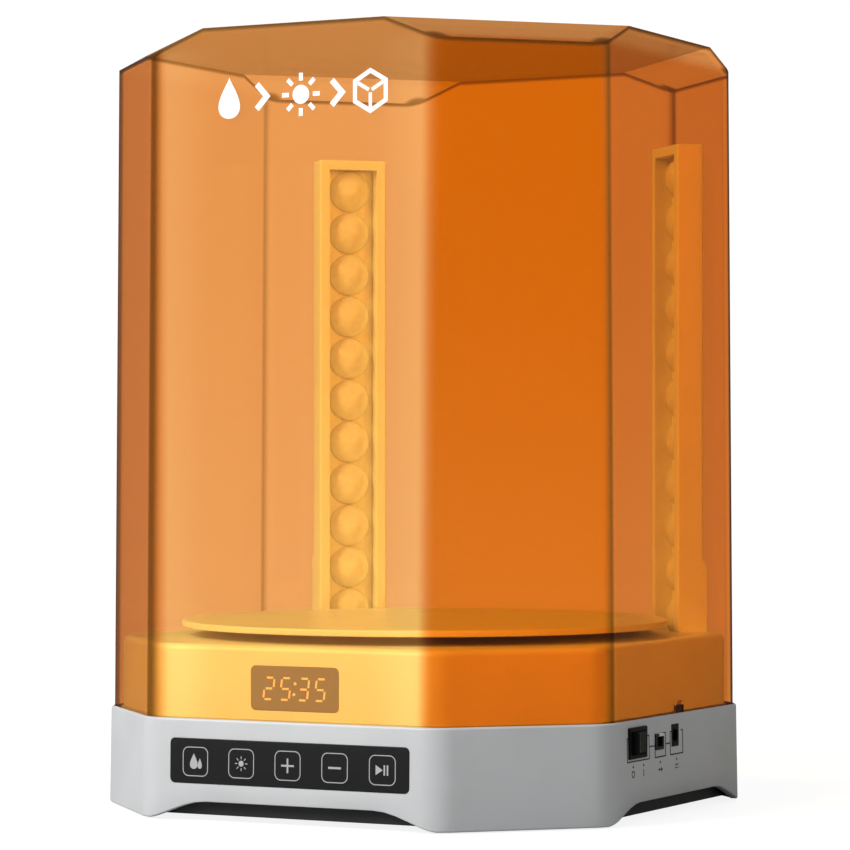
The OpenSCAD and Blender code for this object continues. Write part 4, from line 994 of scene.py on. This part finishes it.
# %% Lit digits
STROKE, DIGIT_GAP, SLANT = 0.95, 0.75, math.tan(math.radians(7))
half_w, half_h = 3 - STROKE / 2, 5.7 - STROKE / 2
middle = WINDOW_Z / MM
segments = {f"{name} bar": [(DIGIT_GAP - half_w, v), (half_w - DIGIT_GAP, v)]
            for name, v in (("top", half_h), ("middle", 0), ("bottom", -half_h))}
segments |= {f"{side} {name}": [(u, DIGIT_GAP + v), (u, half_h - DIGIT_GAP + v)]
             for side, u in (("left", -half_w), ("right", half_w))
             for name, v in (("upper", 0), ("lower", -half_h))}
lit = {2: ("top bar", "right upper", "middle bar", "left lower", "bottom bar"),
       5: ("top bar", "left upper", "middle bar", "right lower", "bottom bar"),
       3: ("top bar", "right upper", "middle bar", "right lower", "bottom bar")}


def slanted(u, v, w):
    """The plinth's face with uprights that lean to the right."""
    return on_plinth(u + (v - WINDOW_Z) * SLANT, v, w + 0.08 * MM)


ribbon, patch, rays = printer(slanted, 0.1 * MM)
digits = []
for value, u in zip((2, 5, 3, 5), (-14.2, -5.0, 5.0, 14.2)):
    for segment in lit[value]:
        digits += ribbon(np.array(segments[segment]) + [u, middle], STROKE)
for v in (-2.6, 2.6):
    digits += patch(circle((0, middle + v), 0.75, 20))
finish_piece(make_piece("display_digits", digits), "base", lit_digits)

# %% Port prints
SWITCH_MIDDLE, SOCKET_MIDDLE, JACK_MIDDLE = -48.5, -22.6, -2.5
ribbon, patch, rays = printer(side_wall(INK), 2 * INK)
marks = []
for left, right, inner_left, inner_right in ((-61.6, -35.7, -59.9, -39.6), (-28.6, -15.9, -28.4, -19.4),
                                             (-10.1, 5.3, -8.2, 3.0)):
    marks += ribbon([(inner_left, 41.6), (left, 41.6), (left, 30.2), (right, 30.2), (right, 41.6),
                     (inner_right, 41.6)], 0.6)
for left, right in ((-35.4, -28.9), (-15.6, -10.4)):
    marks += ribbon([(left, 36), (right, 36)], 0.6)
for y in (SWITCH_MIDDLE - 6.4, SWITCH_MIDDLE + 6, SOCKET_MIDDLE, JACK_MIDDLE):
    marks += patch([(y - 0.8, 27.1), (y + 0.8, 27.1), (y, 28.5)])
marks += ribbon(circle((SWITCH_MIDDLE - 6.4, 24), 1.5, 28), 0.5, closed=True)
marks += ribbon([(SWITCH_MIDDLE + 6, 22.3), (SWITCH_MIDDLE + 6, 25.7)], 0.5)
marks += patch(circle((SOCKET_MIDDLE - 1.5, 24), 0.6, 20))
marks += ribbon([(SOCKET_MIDDLE - 1.5, 24), (SOCKET_MIDDLE + 2, 24)], 0.5)
marks += patch([(SOCKET_MIDDLE + 1.2, 22.9), (SOCKET_MIDDLE + 2.8, 24), (SOCKET_MIDDLE + 1.2, 25.1)])
marks += ribbon([(JACK_MIDDLE - 1.9, 24.9), (JACK_MIDDLE + 1.9, 24.9)], 0.5)
for y in (-1.9, -0.4, 1.1):
    marks += ribbon([(JACK_MIDDLE + y, 23.4), (JACK_MIDDLE + y + 0.8, 23.4)], 0.5)
finish_piece(make_piece("port_prints", marks), "base", black_ink)

# %% [markdown]
# ## The mark on the cover
# A row of plain pictograms printed in white: a drop, an arrow, a sun, an arrow and a finished cube.

# %% Cover print
def on_cover(u, v, w):
    """The cover's leaning front wall."""
    lean = DRAFT * (v - GROOVE) / (TOP - GROOVE)
    return np.stack([u, -(HALF - lean + 0.15 * MM + w), v], -1)


ROW = 351.5
ribbon, patch, rays = printer(on_cover, INK)
sun, cube = np.array([5, ROW]), np.array([43, ROW])
mark = patch(droplet((-35, ROW), 13.5, 20)) + patch(circle(sun, 4.6)) + rays(sun, 6.6, 10.4, 2.2)
for u in (-19.5, 22.0):
    mark += ribbon([(u, ROW + 6), (u + 5.6, ROW), (u, ROW - 6)], 3)
spokes = np.arange(6) * math.pi / 3 + math.pi / 6
spokes = np.column_stack([np.cos(spokes), np.sin(spokes)])
mark += ribbon(cube + 9.6 * spokes, 2.2, closed=True)
for way in spokes[::2]:
    mark += ribbon([cube + way * 0.9, cube + way * 8.5], 1.8)
finish_piece(make_piece("cover_mark", mark), "cover", white_ink)

# %% [markdown]
# ## Finishes for the CAD pieces
# Every piece that keeps its CAD shape takes the finish of its material slot.

# %% CAD pieces
def outlet_plastic():
    """Black outlet body with a white keyed insert in its upper rear corner, both faintly mottled."""
    paint = Paint("two-tone outlet")
    point, x, y, z = paint.place()
    insert = z.ramp(40.2 * MM, 40.4 * MM) * y.ramp(-25.1 * MM, -24.9 * MM)
    grain = paint.noise(point, 0.4 * MM, 3)
    shade = paint.blend(insert, paint.blend(grain, (0.006, 0.006, 0.0065), (0.012, 0.012, 0.0125)),
                        paint.blend(grain, (0.74, 0.73, 0.70), (0.80, 0.79, 0.76)))
    return paint.finish(paint.principled(Base_Color=shade, Roughness=0.34 + grain * 0.1, Specular_IOR_Level=0.2,
                                         Normal=paint.bump(grain, 0.006 * MM, 0.6)))


paints = {"cover_plastic": acrylic, "base_plastic": base_grey, "tray_plastic": tray_black,
          "rubber": soft_rubber, "screw_steel": plated_steel, "black_plastic": trim_black,
          "rocker_plastic": rocker_black, "panel_gloss": panel_black, "display_smoke": smoke,
          "circuit_board": green_board, "white_board": white_board, "ivory_plastic": nylon,
          "capacitor_sleeve": sleeve, "plated_contact": tinned, "sprung_contact": gilded,
          "bar_plastic": bar_white, "led_white": led_resin, "lamp_lens": lens, "sheet_steel": rolled_steel,
          "cast_alloy": cast_alloy, "bearing_bronze": bronze, "shaft_steel": ground_steel,
          "driver_plastic": acetal, "pinion_brass": brass, "lead_red": red_wire, "lead_grey": grey_wire}
outlet = outlet_plastic()
for part in frame["record"]["subparts"]:
    node = frame["nodes"][part["node"]]
    node.data.materials.clear()
    node.data.materials.append(outlet if part["node"] == "output_socket" else paints[part["material_slot"]])

# %% [markdown]
# ## Floor, light and camera
# The lamp stands on a pale sweep. One large soft light comes from the front left, a weak one fills from the
# right, and the room itself gives the rest. Three warm lights reach only the plinth, the turntable and the bars,
# and stand for the light that a clear cover lets in. The eye sees white wherever it looks past the lamp.

# %% Floor
bowl = eased([(0, 0), (1.7, 0), (2.6, 1.5)], [0.8], 24)
floor_points, floor_faces = spun(bowl, 96)
floor = make_piece("floor", [(floor_points, floor_faces)], outward=False)
paint = Paint("pale floor")
point = paint.place()[0]
fleck = paint.noise(point, 4 * MM, 4)
shade = paint.blend(paint.noise(point, 0.5, 2), (0.20, 0.20, 0.20), (0.24, 0.24, 0.24))
lit = paint.principled(Base_Color=shade, Roughness=0.6 + fleck * 0.1, Emission_Color=(1, 1, 1),
                       Emission_Strength=0.87)
dim = paint.principled(Base_Color=(0.40, 0.40, 0.40), Roughness=0.9)
seen_by_eye = paint.node("ShaderNodeLightPath", output=0)
floor.data.materials.append(paint.finish(paint.mix(seen_by_eye, dim, lit)))
floor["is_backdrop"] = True
print("floor ready")

# %% Light
world = bpy.data.worlds.new("studio")
bpy.context.scene.world = world
world.use_nodes = True
tree = world.node_tree
tree.nodes.clear()
path = tree.nodes.new("ShaderNodeLightPath")
room, seen = tree.nodes.new("ShaderNodeBackground"), tree.nodes.new("ShaderNodeBackground")
mix = tree.nodes.new("ShaderNodeMixShader")
room.inputs[0].default_value, room.inputs[1].default_value = (0.98, 0.98, 1.0, 1), 0.40
seen.inputs[0].default_value, seen.inputs[1].default_value = (1, 1, 1, 1), 1.0
tree.links.new(path.outputs["Is Camera Ray"], mix.inputs[0])
tree.links.new(room.outputs[0], mix.inputs[1])
tree.links.new(seen.outputs[0], mix.inputs[2])
tree.links.new(mix.outputs[0], tree.nodes.new("ShaderNodeOutputWorld").inputs[0])


def softbox(name, azimuth, elevation, distance, size, power, aim=(0, 0, 0.16), colour=(1, 1, 1)):
    """A square area light: azimuth is measured to the right of the front, both angles in degrees."""
    lamp = bpy.data.lights.new(name, "AREA")
    lamp.shape, lamp.size, lamp.size_y, lamp.energy, lamp.color = "RECTANGLE", size[0], size[1], power, colour
    around, up = math.radians(azimuth), math.radians(elevation)
    way = Vector((math.sin(around) * math.cos(up), -math.cos(around) * math.cos(up), math.sin(up)))
    light = bpy.data.objects.new(name, lamp)
    light.location = Vector(aim) + way * distance
    light.rotation_euler = (-way).to_track_quat("-Z", "Y").to_euler()
    bpy.context.scene.collection.objects.link(light)
    light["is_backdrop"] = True
    return light


softbox("key", -31, 36, 2.2, (1.3, 1.3), 53)
softbox("fill", 62, 14, 2.6, (1.4, 1.4), 24)
deck = [plinth, turntable]
lit_names = ("bar_housing_right", "bar_housing_left", "lamp_lenses_left", "led_board_left")
lamps = [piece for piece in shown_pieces() if piece.name in lit_names]
for name, azimuth, elevation, power, lit_pieces in (("inner_right", 62, 5, 36, deck + lamps),
                                                    ("inner_left", -40, 2, 10, deck),
                                                    ("inner_front", 20, 6, 10, deck + lamps)):
    within = bpy.data.collections.new(name)
    for piece in lit_pieces:
        within.objects.link(piece)
    inner = softbox(name, azimuth, elevation, 1.8, (1.2, 1.2), power, (0, 0, 0.2), (1.0, 0.80, 0.42))
    inner.light_linking.receiver_collection = within
print("light ready")

# %% Camera
lens_data = bpy.data.cameras.new("camera")
lens_data.sensor_width, lens_data.lens = 36, 148.2
camera = bpy.data.objects.new("camera", lens_data)
camera.location = (0.8366, -1.5990, 0.1773)
camera.rotation_euler = (math.radians(90.522), 0, math.radians(27.62))
bpy.context.scene.collection.objects.link(camera)
bpy.context.scene.camera = camera
bpy.context.scene.view_settings.view_transform = "Standard"
print("camera at", tuple(round(c, 3) for c in camera.location))
